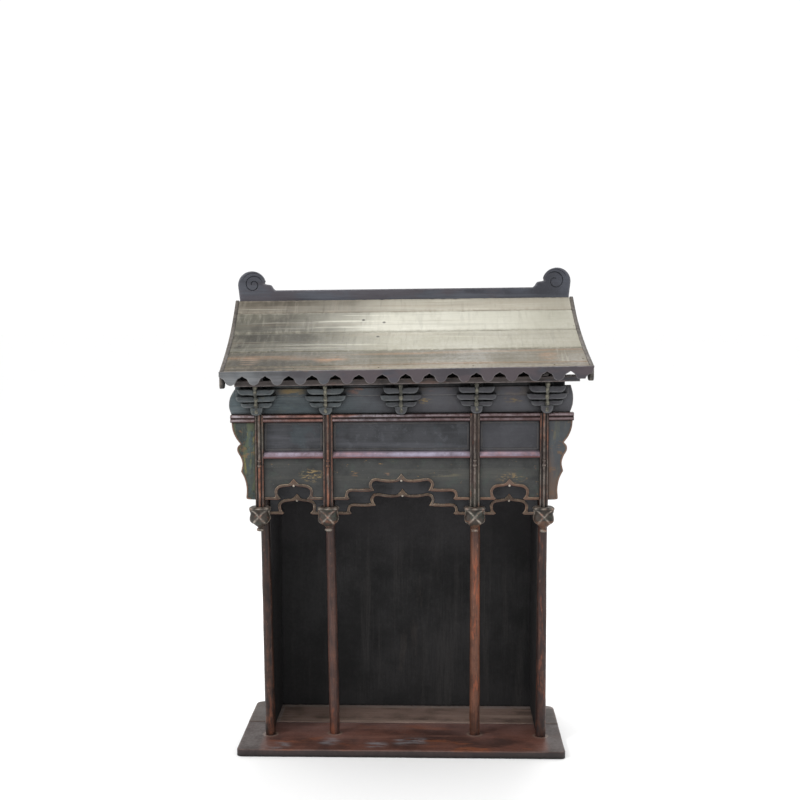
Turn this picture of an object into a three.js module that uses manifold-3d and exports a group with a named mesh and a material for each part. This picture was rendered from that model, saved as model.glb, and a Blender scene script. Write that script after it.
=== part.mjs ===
// A carved wooden house shrine for a family altar.
// Millimetres, +Z up. While it is built, x = 0 is the middle of the front, y = 0 is the front edge of the
// base and y grows towards the back, and z = 0 is the floor. The finished group is then moved so that its
// origin is the middle of the bottom of its box.
import * as THREE from "three";
import { mergeVertices } from "three/addons/utils/BufferGeometryUtils.js";
import Module from "manifold-3d";

const wasm = await Module();
wasm.setup();

// Clearance between pieces that touch
const GAP = 0.3;
// How far a raised part or a cutting box reaches past a face before it is joined or cut
const LAP = 1;

// Base: two boards side by side, the rear one cut askew
const BASE_LEFT_X = -380;
const BASE_RIGHT_X = 376;
const BASE_THICKNESS = 17;
const BASE_SEAM_Y = 195;
const BASE_BACK_LEFT_Y = 354;
const BASE_BACK_RIGHT_Y = 332;
const BASE_ARRIS = 2.5;
const BASE_FRONT_CORNER_RADIUS = 12;
const BASE_BACK_CORNER_RADIUS = 20;
const REAR_BOARD_LIFT = 1.2;

// Floor-standing columns: the two on the left lean
const COLUMN_FOOT_X = [-314.2, -162, 171, 326.8];
const COLUMN_TOP_X = [-324.2, -172, 170.5, 328.3];
const COLUMN_FOOT_Y = [107, 118, 118, 109];
const COLUMN_TOP_Y = 108;
const COLUMN_FOOT_RADIUS = 12.4;
const COLUMN_TOP_RADIUS = 10.4;
// Uneven rounding: share of the taper, and the places along the height where it comes and goes
const COLUMN_SWELL = 0.3;
const COLUMN_STEPS = [0, 0.02, 0.3, 0.65, 1];

// Side walls, back and ceiling
const WALL_THICKNESS = 12;
const LEFT_WALL_INNER_X = -311;
const RIGHT_WALL_INNER_X = 317;
const WALL_FRONT_Y = 122;
const BACK_PANEL_Y = 324;
const BACK_PANEL_THICKNESS = 11;
const CEILING_Z = 771;
const CEILING_THICKNESS = 12;
const ARM_Z = 700;

// Front plane: posts, rails, panels and scalloped boards
const POST_X = [-327, -169, 168, 326];
const OUTER_POST_WIDTH = 19;
const INNER_POST_WIDTH = 22;
const POST_FRONT_Y = 49;
const POST_DEPTH = 17;
const POST_BEAD_RADIUS = 3;
const POST_FILLET = 4;
const POST_FILLET_SETBACK = 2;
const POST_GROOVE = 1.5;
const POST_ROUNDING = 1;
const POST_QUIRK = 0.6;
// Small carved drop under the mid rail: radius, height from its top
const KNOP = [[0, 0], [2.6, -1], [4.2, -3.5], [2.8, -8], [3.6, -12], [4.8, -15], [3.4, -18.5], [0, -21]];
const DROP_TOP_Z = 573;
const RAIL_DEPTH = 24;
const RAIL_FRONT_Y = 49.5;
const TOP_RAIL_Z = 770.5;
const TOP_RAIL_HEIGHT = 17.5;
const TOP_RAIL_HALF_LENGTH = 393;
const TOP_RAIL_GROOVE_WIDTH = 1;
const TOP_RAIL_GROOVE_DEPTH = 1;
const MID_RAIL_Z = 686;
const MID_RAIL_HEIGHT = 16;
const MID_RAIL_NOSE = 5;
// Quirk over the nose: set-back, height
const MID_RAIL_QUIRK = [1, 1.2];
const PANEL_Y = 61;
const PANEL_THICKNESS = 7;
const PANEL_FRAME_WIDTH = 6;
const PANEL_SINK = 2;

// Scalloped boards, front row and the lower row in the plane of the columns
const VALANCE_THICKNESS = 7;
const VALANCE_BORDER = 6.5;
const VALANCE_RELIEF = 2.4;
// Pointed lip of an opening's foot, and the border's start over it
const VALANCE_LIP = 4;
const VALANCE_BORDER_START = 1;
// How much lower the border's inner corner is than the border is wide
const VALANCE_CORNER_DROP = 1;
const PEAK_RISE = 15;
const PEAK_BEAD_RADIUS = 2.7;
const FRONT_VALANCE_Y = 58;
const FRONT_VALANCE_Z = 589;
const INNER_VALANCE_Y = 104;
const INNER_VALANCE_Z = 547;
const INNER_VALANCE_TOP_Z = 699;

// Half outlines of the scalloped openings, from the hook to the peak: half width, height over the edge
const SMALL_ARCH = [[[31, 3], [37, 11], [38, 21], [32, 28], [20, 30.5], [9, 32], [0, 34.5]]];
const WIDE_ARCH = [
  [[119.5, 3], [123.5, 9], [121.5, 16.5], [115, 19.5], [94, 19], [76, 19.5], [62.5, 21.5]],
  [[62.5, 21.5], [66.5, 28.5], [68.5, 36], [64.5, 42.5], [57, 44], [41, 41.5], [25, 40.5], [10, 42], [0, 46]],
];

// Wing boards beside the corner posts: distance from the middle, height
const WING_Y = 56.5;
const WING_THICKNESS = 9;
const WING_RIM = 3.5;
const WING_RIM_RELIEF = 1.5;
const WING_FOOT_DROP = 0.5;
const WING_STRETCHES = [
  [[391, 770], [388.5, 752], [381.5, 735], [371, 720.5]],
  [[371, 720.5], [377.5, 713.5], [378, 703], [370, 688], [366.5, 673], [370, 656]],
  [[370, 656], [361.5, 638], [357.5, 616], [358.5, 596]],
  [[358.5, 596], [357, 591.5], [348, 590]],
];

// Lotus drops: rounded square rings, height under the top against half width
const DROP_RINGS = [
  [0, 22], [2, 25], [5, 25.4], [14, 22.2], [24, 24], [32, 23.2], [39, 17.5], [47, 7], [50, 5.4], [52, 8],
  [56, 8], [58, 4.5],
];
const DROP_Y = 58;
const DROP_SQUARENESS = 3.4;
const DROP_ROUND_FROM = 40;
const DROP_SEGMENTS = 14;

// Frieze, brackets and the plank on them
const FRIEZE_Z = 788.5;
const FRIEZE_TOP_Z = 849;
const FRIEZE_Y = 62;
const FRIEZE_THICKNESS = 8;
const FRIEZE_END_INSET = 12;
// Outlines of the frieze's ends: reach past the straight top edge, share of the height
const FRIEZE_LEFT_END = [[11, 0], [16, 0.3], [13.5, 0.66], [2, 1]];
const FRIEZE_RIGHT_END = [[4, 0], [10, 0.3], [10.5, 0.66], [5.5, 1]];
// Plain upper part, behind the eave plank and up to the roof, shorter at the right end
const FRIEZE_RISE_RIGHT_INSET = 8;
const FRIEZE_RISE_CLEARANCE = 1.5;
const FRIEZE_BATTEN_Z = 829.5;
const FRIEZE_BATTEN_HEIGHT = 19.5;
const FRIEZE_BATTEN_RELIEF = 2.5;
// Brackets over the posts, how far each stands outside its post, and one near the middle
const BRACKET_OUTWARD = [5, 3.5, 3.5, 5];
const MIDDLE_BRACKET_X = -0.5;
// Boat-shaped arms: height over the bracket's foot, height, half width, front
const BRACKET_TIERS = [
  { z: 17, height: 11.5, half: 36, frontY: 44 },
  { z: 31.5, height: 13, half: 46, frontY: 38 },
  { z: 48, height: 14, half: 41, frontY: 31 },
];
const BRACKET_FOOT = { height: 18, half: 14, frontY: 42 };
const BRACKET_CORE = { z: 14, half: 15, frontY: 48 };
const BOW_ROUNDNESS = 0.85;
const BRACKET_NOSE = 8;
const BRACKET_NOSE_BACK_Y = 50;
const BRACKET_NOSE_FOOT = 4;
// Knobbly front of the nose: y, depth under its top
const BRACKET_NOSE_FRONT = [[24, 0], [23, 11], [30, 19], [28, 28], [36, 36], [35, 46], [41, 54]];
const BRACKET_NOSE_FOOT_Y = 40;
// The plank has slid to the right: its ends against the top rail's
const EAVE_PLANK_LEFT_INSET = 16;
const EAVE_PLANK_RIGHT_EXTRA = 9;
const EAVE_PLANK_Z = 859;
const EAVE_PLANK_THICKNESS = 13;
const EAVE_PLANK_FRONT_Y = 13;

// Roof: one concave front slope of planks, from the eave to the ridge
const ROOF_HALF_WIDTH = 415.5;
const EAVE_Y = -31;
const EAVE_Z = 896.5;
const RIDGE_Y = 305.4;
const ROOF_RISE = 153.7;
const EAVE_SLOPE = 0.31;
const RIDGE_SLOPE = 0.78;
const ROOF_PLANK_THICKNESS = 9;
const ROOF_SEAMS_Y = [-5, 85, 182, 263];
const BARGE_THICKNESS = 9;
const BARGE_DEPTH = 24;
// Hook at a barge board's foot: behind the eave, under the roof
const BARGE_HOOK = [[0.3, 31], [4, 37], [9, 38.5], [31, 37.5], [40, 25]];
const BARGE_HOOK_END = 50;
// The right hook is worn shorter
const RIGHT_HOOK_RISE = 5;
const EAVE_ARM_INSET = 3;
const EAVE_ARM_DEPTH = 9;
const FASCIA_THICKNESS = 8;
const FASCIA_LOBES = 16;
const FASCIA_HEIGHT = 31.5;
const FASCIA_NOTCH = 21.5;
// Lower edge of half a tongue and of the broken last one: share of the pitch, share of the notch
const TONGUE = [[0, 1], [0.09, 0.84], [0.2, 0.69], [0.25, 0.5], [0.3, 0.26], [0.37, 0.1], [0.5, 0]];
const BROKEN_TONGUE = [
  [0, 1],
  [0.09, 0.84],
  [0.2, 0.62],
  [0.245, 0.33],
  [0.3, 0.16],
  [0.62, 0.16],
  [0.68, 0.45],
  [0.78, 0.66],
  [0.92, 0.72],
];

// Ridge board with scroll ends
const RIDGE_THICKNESS = 18;
const RIDGE_END_INSET = 6;
const RIDGE_FOOT_Z = 1030;
const RIDGE_TOP_Z = 1074;
const SCROLL_RADIUS = 34;
const SCROLL_TOP_Z = 1121.5;
// Small step beside a scroll head: from the dome's inner side, over its centre
const SCROLL_STEP = 24;
const SCROLL_STEP_LINE = [[3, 3], [-1, 1.5], [-10.8, 0], [-14.9, -3], [-19.2, -9.5]];
const SCROLL_DOME_FROM = -10;
const SCROLL_DOME_SWEEP = 175;
const SCROLL_DOME_STEPS = 10;
const SCROLL_END_INSET = 4;
const SCROLL_CHEEK = 36;
const SPIRAL_TURNS = 1.35;
const SPIRAL_RADIUS = 22;
const SPIRAL_EYE = 5;
const SPIRAL_STEPS = 16;
const SPIRAL_WIDTH = 2.6;
const SPIRAL_DEPTH = 1.6;

// How much the old joints have given way: rise towards the right for each mm of x, at some heights
const SETTLING = [
  [0, 0],
  [500, 0],
  [780, 0.0087],
  [845, 0.0115],
  [858, 0.0165],
  [893, 0.0165],
  [1050, 0.0104],
];
// How far the roof has also slid towards the right, at the eave and at the ridge
const EAVE_SLIDE = 12.2;
const RIDGE_SLIDE = -1;

const MATERIALS = {
  base: [0x4d2e26, 0.6],
  column: [0x54332c, 0.55],
  interior: [0x232324, 0.8],
  moulding: [0x5a3c35, 0.5],
  panel: [0x3c3d3e, 0.65],
  valance: [0x40413d, 0.65],
  lotus: [0x5c5049, 0.6],
  wing: [0x3d423c, 0.6],
  frieze: [0x404548, 0.65],
  roof: [0x9a9483, 0.9],
  trim: [0x55545d, 0.7],
};

// Linear interpolation in a list of [place, value]
function tableValue(table, place) {
  for (let i = 1; i < table.length; i++) {
    const [p0, v0] = table[i - 1];
    const [p1, v1] = table[i];
    if (place <= p1) return v0 + ((v1 - v0) * Math.max(place - p0, 0)) / (p1 - p0);
  }
  return table[table.length - 1][1];
}

// A closed geometry as a solid, and back
function solid(geometry) {
  const bare = geometry.index ? geometry.toNonIndexed() : geometry.clone();
  bare.deleteAttribute("normal");
  bare.deleteAttribute("uv");
  const merged = mergeVertices(bare, 1e-4);
  return new wasm.Manifold(
    new wasm.Mesh({
      numProp: 3,
      vertProperties: merged.attributes.position.array,
      triVerts: new Uint32Array(merged.index.array),
    }),
  );
}

function geometryOf(body) {
  const mesh = body.getMesh();
  const geometry = new THREE.BufferGeometry();
  geometry.setAttribute("position", new THREE.BufferAttribute(mesh.vertProperties, 3));
  geometry.setIndex(new THREE.BufferAttribute(mesh.triVerts, 1));
  return geometry;
}

function join(geometries) {
  return geometryOf(geometries.map(solid).reduce((sum, body) => sum.add(body)));
}

function cut(geometry, tools) {
  return geometryOf(tools.map(solid).reduce((rest, tool) => rest.subtract(tool), solid(geometry)));
}

function shapeOf(points) {
  return new THREE.Shape(points.map(([x, y]) => new THREE.Vector2(x, y)));
}

function extrude(points, depth) {
  return new THREE.ExtrudeGeometry(shapeOf(points), { depth, bevelEnabled: false, curveSegments: 1 });
}

// Boards: an outline in x and z with its thickness from front to back, or in y and z along x, or flat
function frontBoard(points, frontY, thickness) {
  return extrude(points, thickness).rotateX(Math.PI / 2).translate(0, frontY + thickness, 0);
}

function sideBoard(points, leftX, thickness) {
  const turn = new THREE.Matrix4().makeBasis(
    new THREE.Vector3(0, 1, 0),
    new THREE.Vector3(0, 0, 1),
    new THREE.Vector3(1, 0, 0),
  );
  return extrude(points, thickness).applyMatrix4(turn).translate(leftX, 0, 0);
}

function box(x0, x1, y0, y1, z0, z1) {
  const size = new THREE.BoxGeometry(x1 - x0, y1 - y0, z1 - z0);
  return size.translate((x0 + x1) / 2, (y0 + y1) / 2, (z0 + z1) / 2);
}

// A round body turned on the z axis, from [radius, height] pairs that start and end on the axis
function turned(profile, segments) {
  const points = profile.map(([radius, height]) => new THREE.Vector2(radius, height));
  return new THREE.LatheGeometry(points, segments).rotateX(Math.PI / 2);
}

function smooth(points, stepsPerSpan) {
  const spline = new THREE.SplineCurve(points.map(([x, y]) => new THREE.Vector2(x, y)));
  return spline.getPoints((points.length - 1) * stepsPerSpan).map((p) => [p.x, p.y]);
}

function mirrored(points) {
  return points.map(([x, y]) => [-x, y]).reverse();
}

function translated(points, dx, dy) {
  return points.map(([x, y]) => [x + dx, y + dy]);
}

// Control points moved outwards, at a right angle to the line from one neighbour to the next
function offsetControls(points, width) {
  return points.slice(1, -1).map(([x, y], i) => {
    const [ax, ay] = points[i];
    const [bx, by] = points[i + 2];
    const length = Math.hypot(bx - ax, by - ay);
    return [x + ((by - ay) / length) * width, y - ((bx - ax) / length) * width];
  });
}

const shrine = new THREE.Group();

function settled(geometry, slides) {
  const position = geometry.attributes.position;
  const slide = [[EAVE_Y, EAVE_SLIDE], [RIDGE_Y, RIDGE_SLIDE]];
  for (let i = 0; i < position.count; i++) {
    const x = position.getX(i);
    const z = position.getZ(i);
    position.setZ(i, z + x * tableValue(SETTLING, z));
    if (slides) position.setX(i, x + tableValue(slide, position.getY(i)));
  }
  return geometry;
}

function addPiece(name, materialName, geometry, slides = false) {
  const [color, roughness] = MATERIALS[materialName];
  const material = new THREE.MeshStandardMaterial({ color, roughness, metalness: 0 });
  const mesh = new THREE.Mesh(settled(geometry, slides), material);
  mesh.name = name;
  shrine.add(mesh);
}

// Base
function boardPlan(leftFrontY, rightFrontY, leftBackY, rightBackY, roundFront) {
  const [left, right] = [BASE_LEFT_X, BASE_RIGHT_X];
  const r = roundFront ? BASE_FRONT_CORNER_RADIUS : BASE_BACK_CORNER_RADIUS;
  const corner = (cx, cy, from) =>
    [0, 1, 2, 3].map((i) => {
      const a = ((from + i * 30) * Math.PI) / 180;
      return [cx + r * Math.cos(a), cy + r * Math.sin(a)];
    });
  if (roundFront)
    return [
      ...corner(left + r, leftFrontY + r, 180),
      ...corner(right - r, rightFrontY + r, 270),
      [right, rightBackY],
      [left, leftBackY],
    ];
  return [
    [left, leftFrontY],
    [right, rightFrontY],
    ...corner(right - r, rightBackY - r, 0),
    ...corner(left + r, leftBackY - r, 90),
  ];
}

// A flat board whose top edge is bevelled all round
function bevelledBoard(plan, bottomZ, thickness) {
  const centre = plan.reduce(([sx, sy], [x, y]) => [sx + x / plan.length, sy + y / plan.length], [0, 0]);
  const lower = extrude(plan, thickness - BASE_ARRIS).translate(0, 0, bottomZ);
  const shrink = plan.map(([x, y]) => {
    const sx = Math.sign(x - centre[0]) * BASE_ARRIS;
    const sy = Math.sign(y - centre[1]) * BASE_ARRIS;
    return [x - sx, y - sy];
  });
  const bevel = frustum(plan, shrink, bottomZ + thickness - BASE_ARRIS, bottomZ + thickness);
  return join([lower, bevel]);
}

// The body between two plans of as many points, one over the other
function frustum(low, high, z0, z1) {
  const count = low.length;
  const vertices = [...low.map(([x, y]) => [x, y, z0]), ...high.map(([x, y]) => [x, y, z1])];
  const flat = THREE.ShapeUtils.triangulateShape(low.map(([x, y]) => new THREE.Vector2(x, y)), []);
  const index = [];
  for (const [a, b, c] of flat) index.push(a, c, b, a + count, b + count, c + count);
  for (let i = 0; i < count; i++) {
    const j = (i + 1) % count;
    index.push(i, j, j + count, i, j + count, i + count);
  }
  const geometry = new THREE.BufferGeometry();
  geometry.setAttribute("position", new THREE.Float32BufferAttribute(vertices.flat(), 3));
  geometry.setIndex(index);
  return geometry;
}

const FLOOR_Z = BASE_THICKNESS + REAR_BOARD_LIFT;
addPiece(
  "base_front_board",
  "base",
  bevelledBoard(boardPlan(0, 0, BASE_SEAM_Y - GAP, BASE_SEAM_Y - GAP, true), 0, BASE_THICKNESS),
);
addPiece(
  "base_rear_board",
  "base",
  bevelledBoard(boardPlan(BASE_SEAM_Y, BASE_SEAM_Y, BASE_BACK_LEFT_Y, BASE_BACK_RIGHT_Y, false), 0, FLOOR_Z),
);

// Columns: hand-shaped rounds that lean from foot to top
function columnTopZ(i) {
  return (i === 0 || i === 3 ? ARM_Z : CEILING_Z) - GAP;
}

// Where a column's middle is at some height
function columnX(i, z) {
  const t = (z - BASE_THICKNESS) / (columnTopZ(i) - BASE_THICKNESS);
  return COLUMN_FOOT_X[i] + t * (COLUMN_TOP_X[i] - COLUMN_FOOT_X[i]);
}

function column(i) {
  const z0 = BASE_THICKNESS + GAP;
  const topZ = columnTopZ(i);
  const height = topZ - z0;
  const swell = (COLUMN_FOOT_RADIUS - COLUMN_TOP_RADIUS) * COLUMN_SWELL;
  const radiusAt = (t) => COLUMN_FOOT_RADIUS + (COLUMN_TOP_RADIUS - COLUMN_FOOT_RADIUS) * t;
  const profile = COLUMN_STEPS.map((t, k) => [radiusAt(t) - (k % 2 ? 0 : swell), z0 + t * height]);
  const round = turned([[0, z0], ...profile, [0, topZ]], 12);
  const lean = new THREE.Matrix4().set(
    1, 0, (COLUMN_TOP_X[i] - COLUMN_FOOT_X[i]) / height, COLUMN_FOOT_X[i],
    0, 1, (COLUMN_TOP_Y - COLUMN_FOOT_Y[i]) / height, COLUMN_FOOT_Y[i],
    0, 0, 1, 0,
    0, 0, 0, 1,
  );
  round.translate(0, 0, -z0).applyMatrix4(lean).translate(0, 0, z0);
  return round;
}

const SIDES = ["outer_left", "inner_left", "inner_right", "outer_right"];
SIDES.forEach((side, i) => addPiece("column_" + side, "column", column(i)));

// Roof curve, shared by the walls, the planks and the barge boards
function roofZ(y) {
  const run = RIDGE_Y - EAVE_Y;
  const t = (y - EAVE_Y) / run;
  const t2 = t * t;
  const t3 = t2 * t;
  const rise = ROOF_RISE * (3 * t2 - 2 * t3);
  const fromSlopes = run * (EAVE_SLOPE * (t3 - 2 * t2 + t) + RIDGE_SLOPE * (t3 - t2));
  return EAVE_Z + rise + fromSlopes;
}

// The places along the slope where every curved piece has a corner, so that they lie on each other
const SEAMS = [EAVE_Y, ...ROOF_SEAMS_Y, RIDGE_Y];
const SLOPE_STEPS = SEAMS.slice(1).flatMap((y, i) => [SEAMS[i], (SEAMS[i] + y) / 2]).concat(RIDGE_Y);

function slopeLine(fromY, toY, drop) {
  const inside = SLOPE_STEPS.filter((y) => y > fromY + 0.01 && y < toY - 0.01);
  return [fromY, ...inside, toY].map((y) => [y, roofZ(y) - drop]);
}

// Plank thickness measured straight down, on the steepest stretch
const PLANK_DROP = ROOF_PLANK_THICKNESS * Math.hypot(1, RIDGE_SLOPE);
const EAVE_PLANK_TOP_Z = EAVE_PLANK_Z + EAVE_PLANK_THICKNESS;
const RAIL_BACK_Y = RAIL_FRONT_Y + RAIL_DEPTH;
const ARM_FRONT_Y = EAVE_Y + GAP + EAVE_ARM_INSET;
const RIDGE_FRONT_Y = RIDGE_Y + GAP;

// A side wall: from the floor to the roof, with an arm forward to the front plane and one under the eave
function sideWall(innerX, side) {
  const backY = BACK_PANEL_Y - GAP;
  const outline = [
    [WALL_FRONT_Y, FLOOR_Z + GAP],
    [backY, FLOOR_Z + GAP],
    [backY, RIDGE_FOOT_Z - GAP],
    [RIDGE_Y, RIDGE_FOOT_Z - GAP],
    ...slopeLine(ARM_FRONT_Y, RIDGE_Y, PLANK_DROP + GAP).reverse(),
    [ARM_FRONT_Y, roofZ(ARM_FRONT_Y) - PLANK_DROP - EAVE_ARM_DEPTH],
    [EAVE_PLANK_FRONT_Y, EAVE_PLANK_TOP_Z + GAP],
    [RAIL_BACK_Y + GAP, EAVE_PLANK_TOP_Z + GAP],
    [RAIL_BACK_Y + GAP, ARM_Z],
    [WALL_FRONT_Y, ARM_Z],
  ];
  const leftX = side < 0 ? innerX - WALL_THICKNESS : innerX;
  return sideBoard(outline, leftX, WALL_THICKNESS);
}

addPiece("side_wall_left", "interior", sideWall(LEFT_WALL_INNER_X, -1));
addPiece("side_wall_right", "interior", sideWall(RIGHT_WALL_INNER_X, 1));
const BACK_BOTTOM = [LEFT_WALL_INNER_X - WALL_THICKNESS, RIGHT_WALL_INNER_X + WALL_THICKNESS];
addPiece(
  "back_panel",
  "interior",
  box(
    ...BACK_BOTTOM,
    BACK_PANEL_Y,
    BACK_PANEL_Y + BACK_PANEL_THICKNESS,
    FLOOR_Z + GAP,
    EAVE_Z + ROOF_RISE,
  ),
);
addPiece(
  "ceiling_board",
  "interior",
  box(
    LEFT_WALL_INNER_X + GAP,
    RIGHT_WALL_INNER_X - GAP,
    RAIL_BACK_Y + GAP,
    BACK_PANEL_Y - GAP,
    CEILING_Z,
    CEILING_Z + CEILING_THICKNESS,
  ),
);

// A scalloped board: a plain board whose lower edge is an arch with a raised border and a bead at its peak
function archLines(arch) {
  const inner = arch.flatMap((stretch, k) => smooth(stretch, 2).slice(k ? 1 : 0));
  const outer = arch.flatMap((stretch, k) => {
    const moved = offsetControls(stretch, VALANCE_BORDER);
    const last = k === arch.length - 1;
    const [x, y] = stretch[stretch.length - 1];
    const corner = [x + 2 * VALANCE_BORDER, y + VALANCE_BORDER - VALANCE_CORNER_DROP];
    return last ? [...moved, [x, y + PEAK_RISE]] : [...moved.slice(0, -1), corner];
  });
  return { inner, outer };
}

function valance(leftX, rightX, edgeZ, topZ, frontY, arch) {
  const middle = (leftX + rightX) / 2;
  const half = (rightX - leftX) / 2;
  const { inner, outer } = archLines(arch);
  const lip = [inner[0][0] + VALANCE_LIP, 0];
  const opening = [...mirrored([lip, ...inner]).reverse(), ...inner.slice(0, -1).reverse(), lip];
  const place = (points) => translated(points, middle, edgeZ);
  const board = place([[half, 0], [half, topZ - edgeZ], [-half, topZ - edgeZ], [-half, 0], ...opening]);
  const start = [outer[0][0] + VALANCE_BORDER_START, VALANCE_BORDER];
  const upper = [start, ...outer];
  const border = place([
    [half, 0],
    [half, VALANCE_BORDER],
    ...upper,
    ...mirrored(upper.slice(0, -1)),
    [-half, VALANCE_BORDER],
    [-half, 0],
    ...opening,
  ]);
  const [peakX, peakZ] = place([inner[inner.length - 1]])[0];
  const bead = new THREE.IcosahedronGeometry(PEAK_BEAD_RADIUS, 0);
  bead.translate(peakX, frontY - VALANCE_RELIEF / 2, peakZ - PEAK_BEAD_RADIUS / 2);
  return join([
    frontBoard(board, frontY, VALANCE_THICKNESS),
    frontBoard(border, frontY - VALANCE_RELIEF, VALANCE_RELIEF + LAP),
    bead,
  ]);
}

const BAYS = ["left", "middle", "right"];
const postHalf = (i) => (i === 0 || i === 3 ? OUTER_POST_WIDTH : INNER_POST_WIDTH) / 2;
BAYS.forEach((bay, i) => {
  const arch = bay === "middle" ? WIDE_ARCH : SMALL_ARCH;
  const clear = COLUMN_FOOT_RADIUS;
  const heights = [INNER_VALANCE_Z, INNER_VALANCE_TOP_Z];
  const innerLeft = Math.max(...heights.map((z) => columnX(i, z))) + clear;
  const innerRight = Math.min(...heights.map((z) => columnX(i + 1, z))) - clear;
  addPiece(
    "inner_valance_" + bay,
    "valance",
    valance(innerLeft, innerRight, INNER_VALANCE_Z, INNER_VALANCE_TOP_Z, INNER_VALANCE_Y, arch),
  );
  const left = POST_X[i] + postHalf(i) + GAP;
  const right = POST_X[i + 1] - postHalf(i + 1) - GAP;
  addPiece(
    "front_valance_" + bay,
    "valance",
    valance(left, right, FRONT_VALANCE_Z, MID_RAIL_Z - GAP, FRONT_VALANCE_Y, arch),
  );
  const frame = box(left, right, PANEL_Y, PANEL_Y + PANEL_THICKNESS, panelBottom(), TOP_RAIL_Z - GAP);
  const field = box(
    left + PANEL_FRAME_WIDTH,
    right - PANEL_FRAME_WIDTH,
    PANEL_Y - LAP,
    PANEL_Y + PANEL_SINK,
    panelBottom() + PANEL_FRAME_WIDTH,
    TOP_RAIL_Z - GAP - PANEL_FRAME_WIDTH,
  );
  addPiece("upper_panel_" + bay, "panel", cut(frame, [field]));
});

function panelBottom() {
  return MID_RAIL_Z + MID_RAIL_HEIGHT + GAP;
}

// Hanging posts: a flat back, two fillets and a bead in front, and a small carved drop under the mid rail
function postSection(half) {
  const flat = POST_FRONT_Y + POST_BEAD_RADIUS + POST_GROOVE;
  const fillet = POST_FRONT_Y + POST_FILLET_SETBACK;
  const edge = POST_ROUNDING;
  const quirk = POST_BEAD_RADIUS + POST_QUIRK;
  const bead = [0, 1, 2, 3, 4].map((i) => {
    const a = Math.PI - (i * Math.PI) / 4;
    return [POST_BEAD_RADIUS * Math.cos(a), POST_FRONT_Y + POST_BEAD_RADIUS * (1 - Math.sin(a))];
  });
  const back = POST_FRONT_Y + POST_DEPTH;
  return [
    [-half, back],
    [-half, fillet + edge],
    [-half + edge, fillet],
    [-half + POST_FILLET - edge, fillet],
    [-half + POST_FILLET, flat],
    [-quirk, flat],
    ...bead,
    [quirk, flat],
    [half - POST_FILLET, flat],
    [half - POST_FILLET + edge, fillet],
    [half - edge, fillet],
    [half, fillet + edge],
    [half, back],
  ];
}

const POST_TOP_Z = TOP_RAIL_Z + TOP_RAIL_HEIGHT;
SIDES.forEach((side, i) => {
  const bottom = DROP_TOP_Z + GAP;
  const shaft = extrude(postSection(postHalf(i)), POST_TOP_Z - bottom).translate(POST_X[i], 0, bottom);
  const knop = turned(KNOP.slice().reverse(), 8);
  knop.translate(POST_X[i], POST_FRONT_Y + POST_BEAD_RADIUS - LAP, MID_RAIL_Z - LAP);
  addPiece("hanging_post_" + side, "moulding", join([shaft, knop]));
  addPiece("lotus_drop_" + side, "lotus", lotusDrop(POST_X[i]));
});

// A lotus drop: rounded square rings that turn round towards the neck, closed at both ends
function lotusDrop(x) {
  const segments = DROP_SEGMENTS;
  const vertices = [[0, 0, 0]];
  DROP_RINGS.forEach(([depth, half]) => {
    const power = depth > DROP_ROUND_FROM ? 2 : DROP_SQUARENESS;
    for (let k = 0; k < segments; k++) {
      const a = ((k + 0.5) / segments) * 2 * Math.PI;
      const c = Math.abs(Math.cos(a)) ** power;
      const s = Math.abs(Math.sin(a)) ** power;
      const r = half / (c + s) ** (1 / power);
      vertices.push([r * Math.cos(a), r * Math.sin(a), -depth]);
    }
  });
  vertices.push([0, 0, -DROP_RINGS[DROP_RINGS.length - 1][0]]);
  const index = [];
  const at = (ring, k) => 1 + ring * segments + (k % segments);
  for (let k = 0; k < segments; k++) {
    index.push(0, at(0, k), at(0, k + 1));
    for (let ring = 1; ring < DROP_RINGS.length; ring++) {
      index.push(at(ring - 1, k), at(ring, k), at(ring, k + 1));
      index.push(at(ring - 1, k), at(ring, k + 1), at(ring - 1, k + 1));
    }
    index.push(vertices.length - 1, at(DROP_RINGS.length - 1, k + 1), at(DROP_RINGS.length - 1, k));
  }
  const geometry = new THREE.BufferGeometry();
  geometry.setAttribute("position", new THREE.Float32BufferAttribute(vertices.flat(), 3));
  geometry.setIndex(index);
  return geometry.translate(x, DROP_Y, DROP_TOP_Z);
}

// Rails: a moulded front on a straight back, let into each other where the posts cross
function beadArc(z0, height, steps) {
  return Array.from({ length: steps + 1 }, (_, i) => {
    const a = (i / steps) * Math.PI;
    return [RAIL_FRONT_Y + (height / 2) * (1 - Math.sin(a)), z0 + (height / 2) * (1 - Math.cos(a))];
  });
}

function postNotches(z0, z1) {
  return SIDES.map((side, i) => {
    const half = postHalf(i) + GAP;
    return box(POST_X[i] - half, POST_X[i] + half, 0, POST_FRONT_Y + POST_DEPTH + GAP, z0 - LAP, z1 + LAP);
  });
}

function topRail() {
  const bead = (TOP_RAIL_HEIGHT - TOP_RAIL_GROOVE_WIDTH) / 2;
  const groove = RAIL_FRONT_Y + bead / 2 + TOP_RAIL_GROOVE_DEPTH;
  const section = [
    [RAIL_BACK_Y, TOP_RAIL_Z],
    [RAIL_BACK_Y, TOP_RAIL_Z + TOP_RAIL_HEIGHT],
    ...beadArc(TOP_RAIL_Z + TOP_RAIL_HEIGHT - bead, bead, 5).reverse(),
    [groove, TOP_RAIL_Z + TOP_RAIL_HEIGHT - bead],
    [groove, TOP_RAIL_Z + bead],
    ...beadArc(TOP_RAIL_Z, bead, 5).reverse(),
  ];
  const length = TOP_RAIL_HALF_LENGTH;
  const rail = sideBoard(section, -length, 2 * length);
  return cut(rail, postNotches(TOP_RAIL_Z, TOP_RAIL_Z + TOP_RAIL_HEIGHT));
}

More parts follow.
